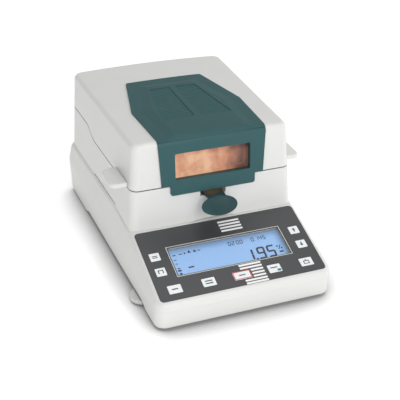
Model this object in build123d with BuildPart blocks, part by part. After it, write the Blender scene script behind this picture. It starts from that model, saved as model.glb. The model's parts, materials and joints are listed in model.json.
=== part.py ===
from build123d import *
from math import atan, atan2, cos, degrees, hypot, radians, sin, tan
import os

# Halogen moisture analyser, in millimetres, +Z up, front facing -Y.
# The origin is under the middle of the base, on the surface the feet stand on.
os.makedirs("parts", exist_ok=True)

# Overall size
overall_depth = 365.0
overall_height = 180.0
base_front_y = -overall_depth / 2
base_back_y = overall_depth / 2

# Base shells: two mouldings that meet at a seam, which climbs towards the back
seam_mid_z = 39.4
seam_climb = 0.069
seam_front_half = 107.4
seam_back_half = 117.6
base_front_corner_r = 14.0
base_back_corner_r = 12.0
upper_flank_draft = 10.9
lower_flank_draft = 3.4
housing_wall = 3.0
shoulder_z = 75.0
shoulder_front_y = -22.0
shoulder_bend_r = 60.0
rim_round_r = 6.0
tray_bottom_z = 8.0
skirt_bottom_z = 2.0
skirt_step_front_y = 90.0
skirt_step_back_y = 106.0
skirt_bend_r = 12.0
tray_edge_r = 3.0

# Sloped control panel
panel_back_y = -77.9
panel_back_z = 68.2
panel_front_y = -177.0
panel_front_z = 38.0
foil_width = 201.0
foil_corner_r = 5.0
foil_t = 0.5

# Display and keys, placed in the panel's own plane: X across, Y up the slope
display_w = 140.7
display_h = 43.3
display_v = 1.2
display_ledge = 1.2
lcd_margin = 4.0
lcd_glass_t = 1.2
key_column_x = 87.2
key_column_high_v = 12.6
key_column_low_v = -10.0
key_row_v = -37.0
key_row_x = 0.8
key_row_pitch = 40.2
key_small_w = 12.0
key_wide_w = 15.8
key_middle_w = 21.4
key_h = 11.6
key_corner_r = 1.0
key_fit = 0.3
key_proud = 0.3
key_travel = 0.4
key_flange = 1.0
key_flange_t = 1.0
key_rest_gap = 0.1
board_depth = 11.0
board_t = 1.6
display_board_w = 184.0
display_board_h = 92.0
display_post_x = 60.0
display_post_v = 40.0
switch_side = 6.0
switch_body_h = 3.5
switch_button_r = 1.75
switch_button_h = 1.2

# Upper block that holds the chamber, and the hood above it, share one drafted form
block_front_y = -74.1
block_back_y = 177.6
block_front_half = 102.2
block_back_half = 110.2
block_draft = 0.066
block_front_r = 10.0
block_back_r = 12.0
parting_front_z = 118.6
parting_back_z = 129.4
parting_step_front_y = 79.0
parting_step_back_y = 105.0
parting_bend_r = 25.0
parting_gap = 1.2
deck_z = 114.6
vent_slot_front_y = -15.0
vent_slot_back_y = 71.0
vent_slot_h = 1.4
scoop_r = 120.0
scoop_depth = 2.6
boss_screw_depth = 14.0

# Heating chamber and what stands in it
chamber_y = 8.0
well_r = 66.0
well_floor_z = 88.0
sheet_t = 1.0
well_flange = 7.0
gripper_arm_z = 102.0
gripper_arm_half = 14.0
gripper_clear = 2.0
gripper_tongue_half = 9.0
gripper_tongue = 10.0
gripper_neck_back_y = -54.0
gripper_neck_front_y = -89.0
gripper_neck_front_half = 10.5
gripper_neck_z = 101.9
gripper_neck_t = 2.7
tray_front_y = -68.0
ring_inner_r = 46.0
ring_outer_r = 52.0
ring_t = 1.5
ring_z = 102.5
shield_inner_r = 48.5
shield_foot_r = 60.0
shield_t = 1.5
support_reach = 38.0
support_arm_w = 8.0
dish_r = 45.0
dish_h = 7.2
dish_t = 0.6
dish_rim_w = 2.4
dish_floor_z = 98.4
support_t = 2.5
spindle_r = 3.0

# Oval finger plate of the gripper
oval_half_w = 22.0
oval_half_h = 12.0
oval_tilt = 45.0
oval_y = -95.0
oval_z = 97.4
oval_t = 2.6
oval_dish_r = 90.0
oval_dish_depth = 0.9
oval_edge_r = 0.8

# Hood
hood_wall = 2.6
crown_edge_z = 174.5
crown_edge_half = 97.0
hood_top_r = 6.0
hinge_r = 9.0
hinge_open = 75.0
cover_top_t = 1.6
cover_front_t = 2.2
plateau_rise = 1.6
plateau_slope = 0.167
cover_back_half = 50.5
cover_kink_half = 70.0
cover_front_half = 65.9
cover_back_y = 107.8
cover_kink_y = 18.4
cover_corner_r = 3.0
cover_seat = 6.0
cover_foot_half = 63.1
lip_half = 52.7
lip_bottom_z = 107.6
lip_clear = 0.8
lip_corner_r = 3.0
window_half_w = 46.5
window_low_z = 126.2
window_high_z = 159.0
window_depth = 5.0
window_rim = 1.6
window_corner_r = 1.5
liner_window_low_z = 128.0
liner_window_high_z = 158.0
roof_slot_x = 40.0
roof_slot_pitch = 14.0
roof_slots = 9
roof_slot_l = 60.0
roof_slot_w = 4.0
pane_t = 2.5
vent_inner_x = 4.0
vent_back_half = 30.0
vent_front_half = 43.0
vent_front_y = -21.0
vent_back_y = 73.0
louvre_pitch = 6.0
louvre_t = 1.5
louvre_angle = 35.0
louvre_w = 8.0
louvre_sink = 0.4
louvre_root = 0.5
vent_corner_r = 1.5

# Side grips on the hood
grip_reach_x = 120.0
grip_front_y = -57.0
grip_back_y = -13.0
grip_t = 5.4
grip_root = 34.0
grip_corner_r = 9.0
grip_edge_r = 2.0

# Inside the hood
frame_z = 133.0
frame_t = 1.5
frame_back_y = 150.0
liner_half = 84.0
liner_front_y = -58.0
liner_back_y = 84.0
liner_top_z = 166.0
liner_bottom_z = 121.0
liner_flange = 4.0
liner_lip = 5.0
glass_t = 3.0
reflector_half = 66.0
reflector_low_z = 150.0
reflector_t = 0.8
probe_r = 1.5
probe_bend_r = 1.8
probe_drop = 3.5
probe_y = 80.5
probe_reach = 30.0
hood_boss_x = 92.5
hood_boss_front_y = -42.0
hood_boss_middle_y = 62.0
hood_boss_back_x = 60.0
hood_boss_back_y = 132.0
hood_boss_r = 4.0
hood_screw_l = 9.0
lamp_r = 5.0
lamp_z = 147.0
lamp_spread = 30.0
socket_w = 16.0
seat_low_z = 122.5

# Feet
foot_x = 101.5
foot_y = -111.0
foot_wheel_r = 15.0
foot_pad_r = 9.0
foot_pad_h = 2.0
foot_travel = 5.0
stud_r = 3.0
rear_foot_x = 86.0
rear_foot_y = 144.0
rear_foot_r = 10.0
rear_foot_seat = 1.2
wheel_gap = 0.2
wheel_top_gap = 0.6
knurls = 24
knurl_r = 1.4
pivot_r = 1.6
pivot_h = 3.2

# Base insides
boss_r = 4.5
boss_rib_t = 2.0
boss_rib_rise = 3.0
screw_r = 1.5
screw_head_r = 3.0
screw_head_h = 2.0
front_boss_x = 97.0
front_boss_y = -152.0
middle_boss_x = 100.0
middle_boss_y = -24.0
back_boss_x = 98.0
back_boss_y = 160.0
stud_boss_h = 16.0
floor_slot_l = 40.0
floor_slot_w = 3.0
floor_slot_pitch = 7.0
floor_slots = 9
floor_slot_x = -20.0
floor_slot_y = -20.0
board_left_x = -78.0
board_right_x = 34.0
board_back_y = -62.0
board_front_y = -132.0
board_z = 24.0
board_margin = 6.0
post_r = 3.5
short_screw_l = 7.0
board_screw_r = 1.2
board_screw_head_r = 2.4
board_screw_l = 8.0
ribbon_w = 30.0
ribbon_t = 1.0
ribbon_v = 34.0
header_w = 6.0
header_h = 8.0
supply_x = 62.0
supply_y = 40.0
supply_w = 62.0
supply_l = 110.0
supply_z = 20.0
cell_length = 128.0
cell_width = 22.0
cell_height = 18.0
cell_low_z = 46.0
cell_mount = 30.0
cell_window_r = 6.0
bracket_half_w = 20.0
bay_half_w = 78.0
bay_low_z = 12.0
bay_high_z = 47.0
plate_y = 174.5
plate_t = 1.5
inlet_x = 44.0
inlet_z = 29.0
inlet_hole_w = 27.4
inlet_hole_h = 20.0
inlet_flange_w = 50.0
inlet_flange_h = 24.0
inlet_flange_t = 2.4
inlet_socket_w = 24.6
inlet_socket_h = 16.6
inlet_depth = 20.0
inlet_pin_pitch = 7.0
inlet_pin_drop = 4.0
inlet_screw_pitch = 40.0
inlet_chamfer = 4.5
fuse_x = 6.0
fuse_r = 6.4
serial_x = -40.0
serial_flange_w = 31.0
serial_flange_h = 12.6
serial_shell_w = 16.9
serial_shell_h = 8.3
serial_shell_t = 0.5
serial_shell_out = 5.8
serial_screw_pitch = 25.0
level_x = 84.0
level_y = -46.0
level_r = 8.0
level_h = 9.0
buffer_x = 90.0
buffer_y = -60.0
buffer_r = 3.5
bracket_x = 88.0
bracket_t = 4.0
bracket_stem = 18.0
bracket_foot = 16.0
bracket_screw_x = 79.0
bracket_foot_t = 3.0
arm_x = 83.0
arm_t = 3.0
arm_front_y = 110.0
arm_foot_w = 14.0
arm_foot_t = 3.0
eye_r = 6.0
pin_r = 2.5
pin_head_r = 4.0
pin_head_t = 1.5
side_gap = 0.1

# General fits
fit = 0.25
running_fit = 0.06
bore_fit = 0.02

# Values that follow from the sizes above
panel_run = panel_back_y - panel_front_y
panel_fall = panel_back_z - panel_front_z
panel_angle = degrees(atan2(panel_fall, panel_run))
foil_length = hypot(panel_run, panel_fall)
draft_angle = degrees(atan(block_draft))
hinge_y = block_back_y - hinge_r
hinge_z = parting_back_z + parting_gap + hinge_r
crown_top_z = overall_height - cover_top_t - plateau_rise
far = 260.0

seam_tilt = atan(seam_climb)
seam_plane = Plane(
    origin=(0, 0, seam_mid_z), x_dir=(1, 0, 0), z_dir=(0, -sin(seam_tilt), cos(seam_tilt))
)
panel_plane = Plane(
    origin=(0, (panel_back_y + panel_front_y) / 2, (panel_back_z + panel_front_z) / 2),
    x_dir=(1, 0, 0),
    z_dir=(0, -sin(radians(panel_angle)), cos(radians(panel_angle))),
)


def block_shrink(z):
    """How far the drafted walls of the block have come in at a height."""
    return block_draft * (z - shoulder_z)


def block_front(z):
    """Y of the block's and hood's front face at a height."""
    return block_front_y + block_shrink(z)


def block_half(y, z):
    """Half width of the block and hood at a place along the depth and a height."""
    share = (y - block_front_y) / (block_back_y - block_front_y)
    return block_front_half + share * (block_back_half - block_front_half) - block_shrink(z)


def seam_height(y):
    """Height of the seam between the two base shells."""
    return seam_mid_z + seam_climb * y


window_mid_z = (window_low_z + window_high_z) / 2
wheel_low_z = foot_pad_h + wheel_gap
wheel_h = tray_bottom_z - wheel_low_z - wheel_top_gap
outer_y = plate_y + plate_t
board_plane = panel_plane.offset(-board_depth)
switch_top_depth = board_depth - switch_body_h - switch_button_h
cell_back_y = chamber_y + cell_length - cell_mount / 2
cell_front_y = cell_back_y - cell_length
window_h = window_high_z - window_low_z
pin_start_x = arm_x - arm_t / 2 - 3
pin_end_x = bracket_x + bracket_t / 2
washer_x = arm_x + arm_t / 2 + side_gap
front_plane = Plane(
    origin=(0, block_front(window_mid_z), window_mid_z),
    x_dir=(1, 0, 0),
    z_dir=(0, -cos(radians(draft_angle)), sin(radians(draft_angle))),
)


def base_outline(inset):
    """Outline of the base on its seam, a little narrower at the front."""
    front, back = base_front_y + inset, base_back_y - inset
    with BuildSketch(seam_plane) as outline:
        with BuildLine():
            Polyline(
                (inset - seam_front_half, front),
                (seam_front_half - inset, front),
                (seam_back_half - inset, back),
                (inset - seam_back_half, back),
                close=True,
            )
        make_face()
        fillet(outline.vertices().group_by(Axis.Y)[0], radius=base_front_corner_r - inset)
        fillet(outline.vertices().group_by(Axis.Y)[-1], radius=base_back_corner_r - inset)
    return outline.sketch


def across(profile):
    """A side view drawn in the YZ plane, carried over the whole width."""
    with BuildPart() as slab:
        extrude(profile, amount=far / 2, both=True)
    return slab.part


def upper_side(drop):
    """Side view of the base: level shoulder, then the slope of the control panel."""
    front = panel_front_y - 40
    front_z = panel_back_z - (panel_back_y - front) * tan(radians(panel_angle))
    with BuildSketch(Plane.YZ) as profile:
        with BuildLine():
            top = FilletPolyline(
                (far, shoulder_z - drop),
                (shoulder_front_y, shoulder_z - drop),
                (panel_back_y, panel_back_z - drop),
                (front, front_z - drop),
                radius=shoulder_bend_r,
            )
            Polyline(top @ 1, (front, -far), (far, -far), top @ 0)
        make_face()
    return profile.sketch


def tray_side(rise):
    """Side view of the tray: its floor drops to a deeper skirt at the back."""
    with BuildSketch(Plane.YZ) as profile:
        with BuildLine():
            low = FilletPolyline(
                (-far, tray_bottom_z + rise),
                (skirt_step_front_y, tray_bottom_z + rise),
                (skirt_step_back_y, skirt_bottom_z + rise),
                (far, skirt_bottom_z + rise),
                radius=skirt_bend_r,
            )
            Polyline(low @ 1, (far, far), (-far, far), low @ 0)
        make_face()
    return profile.sketch


def block_form(inset, low, high):
    """The drafted form that the chamber block and the hood share, between two heights."""
    with BuildPart() as form:
        for z in (low, high):
            front = block_front(z) + inset
            half_front = block_half(block_front_y, z) - inset
            half_back = block_half(block_back_y, z) - inset
            back = block_back_y - inset
            with BuildSketch(Plane.XY.offset(z)) as outline:
                with BuildLine():
                    Polyline(
                        (-half_front, front),
                        (half_front, front),
                        (half_back, back),
                        (-half_back, back),
                        close=True,
                    )
                make_face()
                fillet(outline.vertices().group_by(Axis.Y)[0], radius=block_front_r - inset)
                fillet(outline.vertices().group_by(Axis.Y)[-1], radius=block_back_r - inset)
        loft(ruled=True)
    return form.part


def parting_side(shift, above):
    """Side view of all that lies above or below the parting of hood and block."""
    with BuildSketch(Plane.YZ) as profile:
        with BuildLine():
            line = FilletPolyline(
                (-far, parting_front_z + shift),
                (parting_step_front_y, parting_front_z + shift),
                (parting_step_back_y, parting_back_z + shift),
                (far, parting_back_z + shift),
                radius=parting_bend_r,
            )
            end_z = far if above else -far
            Polyline(line @ 1, (far, end_z), (-far, end_z), line @ 0)
        make_face()
    return profile.sketch


def hood_side(inset):
    """Side view of the hood, whose lower back corner is round about the hinge axis."""
    corner_r = hinge_r - inset
    with BuildSketch(Plane.YZ) as profile:
        with BuildLine():
            if inset:
                edge = Polyline((-far, 0), (hinge_y, 0), (hinge_y, hinge_z - corner_r))
            else:
                edge = FilletPolyline(
                    (-far, parting_front_z + parting_gap),
                    (parting_step_front_y, parting_front_z + parting_gap),
                    (parting_step_back_y, parting_back_z + parting_gap),
                    (hinge_y, hinge_z - corner_r),
                    radius=parting_bend_r,
                )
            turn = JernArc(edge @ 1, (1, 0), corner_r, 90)
            Polyline(turn @ 1, (hinge_y + corner_r, far), (-far, far), edge @ 0)
        make_face()
    return profile.sketch


def crown_below(drop):
    """All that lies below the crowned top of the hood, lowered by a distance."""
    edge_z = crown_top_z - (crown_top_z - crown_edge_z) * (far / 2 / crown_edge_half) ** 2 - drop
    with BuildPart() as slab:
        with BuildSketch(Plane.XZ):
            with BuildLine():
                arc = ThreePointArc((-far / 2, edge_z), (0, crown_top_z - drop), (far / 2, edge_z))
                Polyline(arc @ 1, (far / 2, 0), (-far / 2, 0), arc @ 0)
            make_face()
        extrude(amount=far, both=True)
    return slab.part


def hood_form(side_inset, top_inset):
    """The hood's outer form, taken in or out by a wall at the sides and at the top."""
    with BuildPart() as form:
        add(block_form(side_inset, shoulder_z, overall_height + 20))
        add(crown_below(top_inset), mode=Mode.INTERSECT)
        top = form.faces().sort_by(Axis.Z)[-1]
        fillet(top.edges(), radius=hood_top_r - side_inset)
    return form.part


def cover_outline(inset):
    """Plan of the dark cover: widest at its kink, narrow at the back, open to the front."""
    with BuildSketch(Plane.XY.offset(shoulder_z)) as outline:
        with BuildLine():
            Polyline(
                (-cover_front_half, -far),
                (-cover_front_half, block_front_y),
                (-cover_kink_half, cover_kink_y),
                (-cover_back_half, cover_back_y),
                (cover_back_half, cover_back_y),
                (cover_kink_half, cover_kink_y),
                (cover_front_half, block_front_y),
                (cover_front_half, -far),
                close=True,
            )
        make_face()
        if inset:
            offset(amount=-inset, kind=Kind.INTERSECTION)
        fillet(outline.vertices().group_by(Axis.Y)[-1], radius=cover_corner_r)
    return outline.sketch


def cover_front(inset, low):
    """Front view of the cover: its foot is a little narrower than its shoulders."""
    with BuildPart() as slab:
        with BuildSketch(Plane.XZ):
            with BuildLine():
                Polyline(
                    (inset - cover_foot_half, low),
                    (cover_foot_half - inset, low),
                    (cover_front_half - inset, crown_edge_z - hood_top_r),
                    (far / 2, crown_edge_z - hood_top_r),
                    (far / 2, far),
                    (-far / 2, far),
                    (-far / 2, crown_edge_z - hood_top_r),
                    (inset - cover_front_half, crown_edge_z - hood_top_r),
                    close=True,
                )
            make_face()
        extrude(amount=far, both=True)
    return slab.part


def vent_block(grow):
    """The two vent areas of the cover, beside its middle rib, grown all round."""
    with BuildPart() as block:
        for side in both_sides:
            with BuildSketch(Plane.XY.offset(crown_edge_z - 10)) as plan:
                with BuildLine():
                    Polyline(
                        (side * vent_inner_x, vent_front_y),
                        (side * vent_front_half, vent_front_y),
                        (side * vent_back_half, vent_back_y),
                        (side * vent_inner_x, vent_back_y),
                        close=True,
                    )
                make_face()
                if grow:
                    offset(amount=grow, kind=Kind.INTERSECTION)
                fillet(plan.vertices(), radius=vent_corner_r)
            extrude(amount=far)
    return block.part


def finish(part, name):
    """Name a finished piece and write its STEP file."""
    part.label = name
    export_step(part, f"parts/{name}.step")


def panel_outline(width, length, corner_r, depth):
    """A rounded rectangle on the panel's plane, sunk by a depth."""
    with BuildSketch(panel_plane.offset(-depth)) as outline:
        RectangleRounded(width, length, corner_r)
    return outline.sketch


def key_outlines(grow, depth):
    """The outlines of all nine keys, grown by a clearance and sunk by a depth."""
    with BuildSketch(panel_plane.offset(-depth)) as outline:
        for x, v, width in keys.values():
            with Locations((x, v)):
                RectangleRounded(width + 2 * grow, key_h + 2 * grow, key_corner_r + grow)
    return outline.sketch


def well_channel(half_w, low_z):
    """The channel that the gripper's arm leaves by, from the well through the front wall."""
    with BuildPart() as channel:
        with BuildSketch(Plane.XY.offset(low_z)):
            with Locations((0, (block_front_y + chamber_y) / 2)):
                Rectangle(2 * half_w, chamber_y - block_front_y + 20)
        extrude(amount=parting_front_z + 10 - low_z)
    return channel.part


keys = {
    "key_left_upper": (-key_column_x, key_column_high_v, key_small_w),
    "key_left_lower": (-key_column_x, key_column_low_v, key_small_w),
    "key_right_upper": (key_column_x, key_column_high_v, key_small_w),
    "key_right_lower": (key_column_x, key_column_low_v, key_small_w),
    "key_row_first": (key_row_x - 2 * key_row_pitch, key_row_v, key_wide_w),
    "key_row_second": (key_row_x - key_row_pitch, key_row_v, key_wide_w),
    "key_row_middle": (key_row_x, key_row_v, key_middle_w),
    "key_row_fourth": (key_row_x + key_row_pitch, key_row_v, key_wide_w),
    "key_row_last": (key_row_x + 2 * key_row_pitch, key_row_v, key_wide_w),
}
shell_screws = [
    (side * x, y)
    for x, y in (
        (front_boss_x, front_boss_y),
        (middle_boss_x, middle_boss_y),
        (back_boss_x, back_boss_y),
    )
    for side in (-1, 1)
]
both_sides = (-1, 1)
board_posts = [
    (x, y) for x in (board_left_x, board_right_x) for y in (board_front_y, board_back_y)
]
supply_posts = [
    (supply_x + side * (supply_w / 2 - board_margin), supply_y + end * (supply_l / 2 - board_margin))
    for side in both_sides
    for end in both_sides
]
display_posts = [
    (side * display_post_x, end * display_post_v) for side in both_sides for end in both_sides
]
bracket_screw_spots = [
    (side * bracket_screw_x, hinge_y - bracket_stem / 2 + end * bracket_stem / 4)
    for side in both_sides
    for end in both_sides
]
chamber_spot = (0, chamber_y)
channel_half = gripper_arm_half + gripper_clear
channel_floor_z = gripper_arm_z - gripper_clear

# Upper base shell: flanks, sloped control panel and the block round the chamber
with BuildPart() as housing_bosses:
    for x, y in shell_screws:
        with BuildSketch(Plane.XY.offset(seam_height(y))):
            with Locations((x, y)):
                Circle(boss_r)
        extrude(amount=shoulder_z - seam_height(y) - housing_wall / 2)
        with BuildSketch(Plane.XY.offset(seam_height(y) + boss_rib_rise)):
            with Locations((x, y)):
                Rectangle(4 * boss_r, boss_rib_t,
                          align=(Align.MIN if x > 0 else Align.MAX, Align.CENTER))
        extrude(amount=shoulder_z - seam_height(y) - boss_rib_rise - rim_round_r)
    add(across(upper_side(housing_wall / 2)), mode=Mode.INTERSECT)
    add(
        extrude(base_outline(housing_wall / 2), amount=shoulder_z, taper=upper_flank_draft,
                mode=Mode.PRIVATE),
        mode=Mode.INTERSECT,
    )
with BuildPart() as block_outside:
    add(block_form(0, panel_back_z - housing_wall, parting_back_z + 10))
    add(across(parting_side(0, False)), mode=Mode.INTERSECT)
with BuildPart() as flank_inside:
    extrude(base_outline(housing_wall), amount=shoulder_z, taper=upper_flank_draft)
    add(across(upper_side(housing_wall)), mode=Mode.INTERSECT)
with BuildPart() as block_hollow:
    add(block_form(housing_wall, seam_mid_z, deck_z - housing_wall))
    add(across(upper_side(housing_wall + 1)), mode=Mode.SUBTRACT)
with BuildPart() as channel_wall:
    add(well_channel(channel_half + housing_wall, channel_floor_z - housing_wall))
    add(block_form(0, shoulder_z, deck_z), mode=Mode.INTERSECT)
    with BuildSketch(Plane.XY.offset(shoulder_z)):
        with Locations(chamber_spot):
            Circle(well_r + sheet_t + fit)
    extrude(amount=far, mode=Mode.SUBTRACT)
scoop_spot = (0, block_front_y - scoop_r + scoop_depth)
with BuildPart() as scoop_wall:
    with BuildSketch(Plane.XY.offset(panel_back_z)):
        with Locations(scoop_spot):
            Circle(scoop_r + housing_wall)
    extrude(amount=deck_z - panel_back_z)
    add(block_form(0, panel_back_z, deck_z), mode=Mode.INTERSECT)
with BuildPart() as upper_housing:
    extrude(base_outline(0), amount=shoulder_z, taper=upper_flank_draft)
    add(across(upper_side(0)), mode=Mode.INTERSECT)
    flanks = upper_housing.faces().filter_by(lambda face: abs(face.normal_at().Z) < 0.6)
    roofs = upper_housing.faces().filter_by(lambda face: face.normal_at().Z > 0.6)
    fillet(
        [edge for roof in roofs for edge in roof.edges() if edge in flanks.edges()],
        radius=rim_round_r,
    )
    add(block_outside.part)
    add(flank_inside.part, mode=Mode.SUBTRACT)
    add(block_hollow.part, mode=Mode.SUBTRACT)
    add(block_form(housing_wall, deck_z, parting_back_z + 20), mode=Mode.SUBTRACT)
    add(housing_bosses.part)
    # Front wall: scoop for the fingers and the notch that the gripper lifts out of
    add(scoop_wall.part)
    add(channel_wall.part)
    with BuildSketch(Plane.XY.offset(panel_back_z)):
        with Locations(scoop_spot):
            Circle(scoop_r)
    extrude(amount=parting_back_z, mode=Mode.SUBTRACT)
    add(well_channel(channel_half, channel_floor_z), mode=Mode.SUBTRACT)
    # Deck: the well, the level and the screws of the hinge brackets
    with BuildSketch(Plane.XY.offset(deck_z)):
        with Locations(chamber_spot):
            Circle(well_r + sheet_t + fit)
        with Locations((level_x, level_y)):
            Circle(level_r + fit)
    extrude(amount=-housing_wall - 1, mode=Mode.SUBTRACT)
    # Vent slots where the block meets the shoulder
    with BuildSketch(Plane.XY.offset(shoulder_z)):
        with Locations((0, (vent_slot_front_y + vent_slot_back_y) / 2)):
            Rectangle(far, vent_slot_back_y - vent_slot_front_y)
    extrude(amount=vent_slot_h, mode=Mode.SUBTRACT)
    # Control panel: seat of the foil, window of the display and holes of the keys
    extrude(panel_outline(foil_width + fit, foil_length + fit, foil_corner_r, foil_t), amount=far,
            mode=Mode.SUBTRACT)
    with BuildSketch(panel_plane):
        with Locations((0, display_v)):
            Rectangle(display_w - 2 * display_ledge, display_h - 2 * display_ledge)
    extrude(amount=-housing_wall - 2, mode=Mode.SUBTRACT)
    extrude(key_outlines(key_fit, 0), amount=-housing_wall - 2, mode=Mode.SUBTRACT)
    with BuildSketch(board_plane):
        with Locations(*display_posts):
            Circle(post_r)
    extrude(amount=board_depth - housing_wall / 2)
    with BuildSketch(board_plane):
        with Locations(*display_posts):
            Circle(board_screw_r)
    extrude(amount=board_depth - housing_wall - 1, mode=Mode.SUBTRACT)
    with BuildSketch(Plane.XY.offset(deck_z)):
        with Locations(*bracket_screw_spots):
            Circle(screw_r)
    extrude(amount=-housing_wall - 1, mode=Mode.SUBTRACT)
    for x, y in shell_screws:
        with Locations(Location((x, y, seam_height(y) + boss_screw_depth / 2))):
            Cylinder(screw_r, boss_screw_depth + 2, mode=Mode.SUBTRACT)
finish(upper_housing.part, "upper_housing")

# Tray: lower base shell with the posts for screws, feet and the main board
with BuildPart() as tray_outside:
    extrude(base_outline(0), amount=-shoulder_z, taper=lower_flank_draft)
    add(across(tray_side(0)), mode=Mode.INTERSECT)
    walls = tray_outside.faces().filter_by(lambda face: abs(face.normal_at().Z) < 0.6)
    floors = tray_outside.faces().filter_by(lambda face: face.normal_at().Z < -0.6)
    fillet(
        [edge for floor in floors for edge in floor.edges() if edge in walls.edges()],
        radius=tray_edge_r,
    )
with BuildPart() as tray_inside:
    extrude(base_outline(housing_wall), amount=-shoulder_z, taper=lower_flank_draft)
    add(across(tray_side(housing_wall)), mode=Mode.INTERSECT)
with BuildPart() as tray_posts:
    for x, y in shell_screws:
        with BuildSketch(Plane.XY.offset(skirt_bottom_z)):
            with Locations((x, y)):
                Circle(boss_r)
        extrude(amount=seam_height(y) - skirt_bottom_z)
    for spots, top_z in ((board_posts, board_z), (supply_posts, supply_z)):
        with BuildSketch(Plane.XY.offset(skirt_bottom_z)):
            with Locations(*spots):
                Circle(post_r)
        extrude(amount=top_z - skirt_bottom_z)
    with BuildSketch(Plane.XY.offset(skirt_bottom_z)):
        with Locations(*[(side * foot_x, foot_y) for side in both_sides]):
            Circle(2 * stud_r)
    extrude(amount=tray_bottom_z + stud_boss_h - skirt_bottom_z)
    add(tray_outside.part, mode=Mode.INTERSECT)
with BuildPart() as bay_frame:
    with BuildSketch(Plane.XZ.offset(-plate_y - plate_t)):
        with Locations((0, (bay_low_z + bay_high_z) / 2)):
            Rectangle(2 * bay_half_w + 6, bay_high_z - bay_low_z + 6)
    extrude(amount=-base_back_y + plate_y + plate_t + 1)
    add(tray_outside.part, mode=Mode.INTERSECT)
with BuildPart() as lower_tray:
    add(tray_outside.part)
    add(tray_inside.part, mode=Mode.SUBTRACT)
    add(tray_posts.part)
    add(bay_frame.part)
    with BuildSketch(Plane.XZ.offset(-plate_y - plate_t)):
        with Locations((0, (bay_low_z + bay_high_z) / 2)):
            Rectangle(2 * bay_half_w, bay_high_z - bay_low_z)
    extrude(amount=-20, mode=Mode.SUBTRACT)
    for x, y in shell_screws:
        floor_z = skirt_bottom_z if y > skirt_step_back_y else tray_bottom_z
        with Locations(Location((x, y, floor_z))):
            Cylinder(screw_head_r + fit, 2 * (screw_head_h + 1), mode=Mode.SUBTRACT)
            Cylinder(screw_r + fit, far, mode=Mode.SUBTRACT)
    for spots, top_z in ((board_posts, board_z), (supply_posts, supply_z)):
        with Locations(*[Location((x, y, top_z)) for x, y in spots]):
            Cylinder(board_screw_r, 2 * (top_z - tray_bottom_z - housing_wall), mode=Mode.SUBTRACT)
    for side in both_sides:
        with Locations(Location((side * foot_x, foot_y, tray_bottom_z))):
            Cylinder(stud_r + running_fit, 4 * stud_boss_h, mode=Mode.SUBTRACT)
        with Locations(Location((side * rear_foot_x, rear_foot_y, skirt_bottom_z))):
            Cylinder(rear_foot_r + fit, 2 * rear_foot_seat, mode=Mode.SUBTRACT)
    with BuildSketch(Plane.XY.offset(skirt_bottom_z)):
        with Locations((floor_slot_x, floor_slot_y)):
            with GridLocations(floor_slot_pitch, 0, floor_slots, 1):
                SlotOverall(floor_slot_l, floor_slot_w, rotation=90)
    extrude(amount=tray_bottom_z, mode=Mode.SUBTRACT)
finish(lower_tray.part, "lower_tray")

# Screws that hold the two shells together, all from below
with BuildPart() as shell_screw_set:
    for x, y in shell_screws:
        floor_z = skirt_bottom_z if y > skirt_step_back_y else tray_bottom_z
        head_z = floor_z + screw_head_h + 1
        with BuildSketch(Plane.XY.offset(head_z)):
            with Locations((x, y)):
                Circle(screw_head_r)
        extrude(amount=-screw_head_h)
        with BuildSketch(Plane.XY.offset(head_z)):
            with Locations((x, y)):
                Circle(screw_r)
        extrude(amount=seam_height(y) + boss_screw_depth - head_z - 2)
finish(shell_screw_set.part, "shell_screws")

# Levelling feet: a knurled wheel whose stud turns in the tray, and a pad that carries it
for side, name in zip(both_sides, ("left", "right")):
    with BuildPart() as foot_wheel:
        with BuildSketch(Plane.XY.offset(wheel_low_z)) as wheel_plan:
            Circle(foot_wheel_r)
            with PolarLocations(foot_wheel_r + knurl_r / 2, knurls):
                Circle(knurl_r, mode=Mode.SUBTRACT)
        extrude(amount=wheel_h)
        with BuildSketch(Plane.XY.offset(wheel_low_z)):
            Circle(stud_r)
        extrude(amount=tray_bottom_z + stud_boss_h - foot_travel / 2 - wheel_low_z)
        with BuildSketch(Plane.XY.offset(wheel_low_z)):
            Circle(pivot_r + running_fit)
        extrude(amount=pivot_h + fit, mode=Mode.SUBTRACT)
    wheel = Pos(side * foot_x, foot_y, 0) * foot_wheel.part
    finish(wheel, f"foot_wheel_{name}")
    with BuildPart() as foot_pad:
        Cylinder(foot_pad_r, foot_pad_h, align=(Align.CENTER, Align.CENTER, Align.MIN))
        chamfer(foot_pad.edges().sort_by(Axis.Z)[0], length=0.5)
        with BuildSketch(Plane.XY.offset(foot_pad_h)):
            Circle(pivot_r)
        extrude(amount=pivot_h)
    pad = Pos(side * foot_x, foot_y, 0) * foot_pad.part
    finish(pad, f"foot_pad_{name}")

with BuildPart() as rear_feet:
    for side in both_sides:
        with Locations(Location((side * rear_foot_x, rear_foot_y, 0))):
            Cylinder(rear_foot_r, skirt_bottom_z + rear_foot_seat, align=(Align.CENTER, Align.CENTER, Align.MIN))
    chamfer(rear_feet.faces().sort_by(Axis.Z)[:2].edges(), length=0.5)
finish(rear_feet.part, "rear_feet")

# Connector plate at the back, with the mains inlet, fuse cap and serial socket
with BuildPart() as connector_plate:
    with BuildSketch(Plane.XZ.offset(-plate_y)):
        with Locations((0, (bay_low_z + bay_high_z) / 2)):
            Rectangle(2 * bay_half_w + 6, bay_high_z - bay_low_z + 6)
        with Locations((inlet_x, inlet_z)):
            Rectangle(inlet_hole_w, inlet_hole_h, mode=Mode.SUBTRACT)
            with GridLocations(inlet_screw_pitch, 0, 2, 1):
                Circle(screw_r + bore_fit, mode=Mode.SUBTRACT)
        with Locations((fuse_x, inlet_z)):
            Circle(fuse_r + bore_fit, mode=Mode.SUBTRACT)
        with Locations((serial_x, inlet_z)):
            Rectangle(serial_shell_w + 2, serial_shell_h + 2, mode=Mode.SUBTRACT)
    extrude(amount=-plate_t)
finish(connector_plate.part, "connector_plate")

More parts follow.
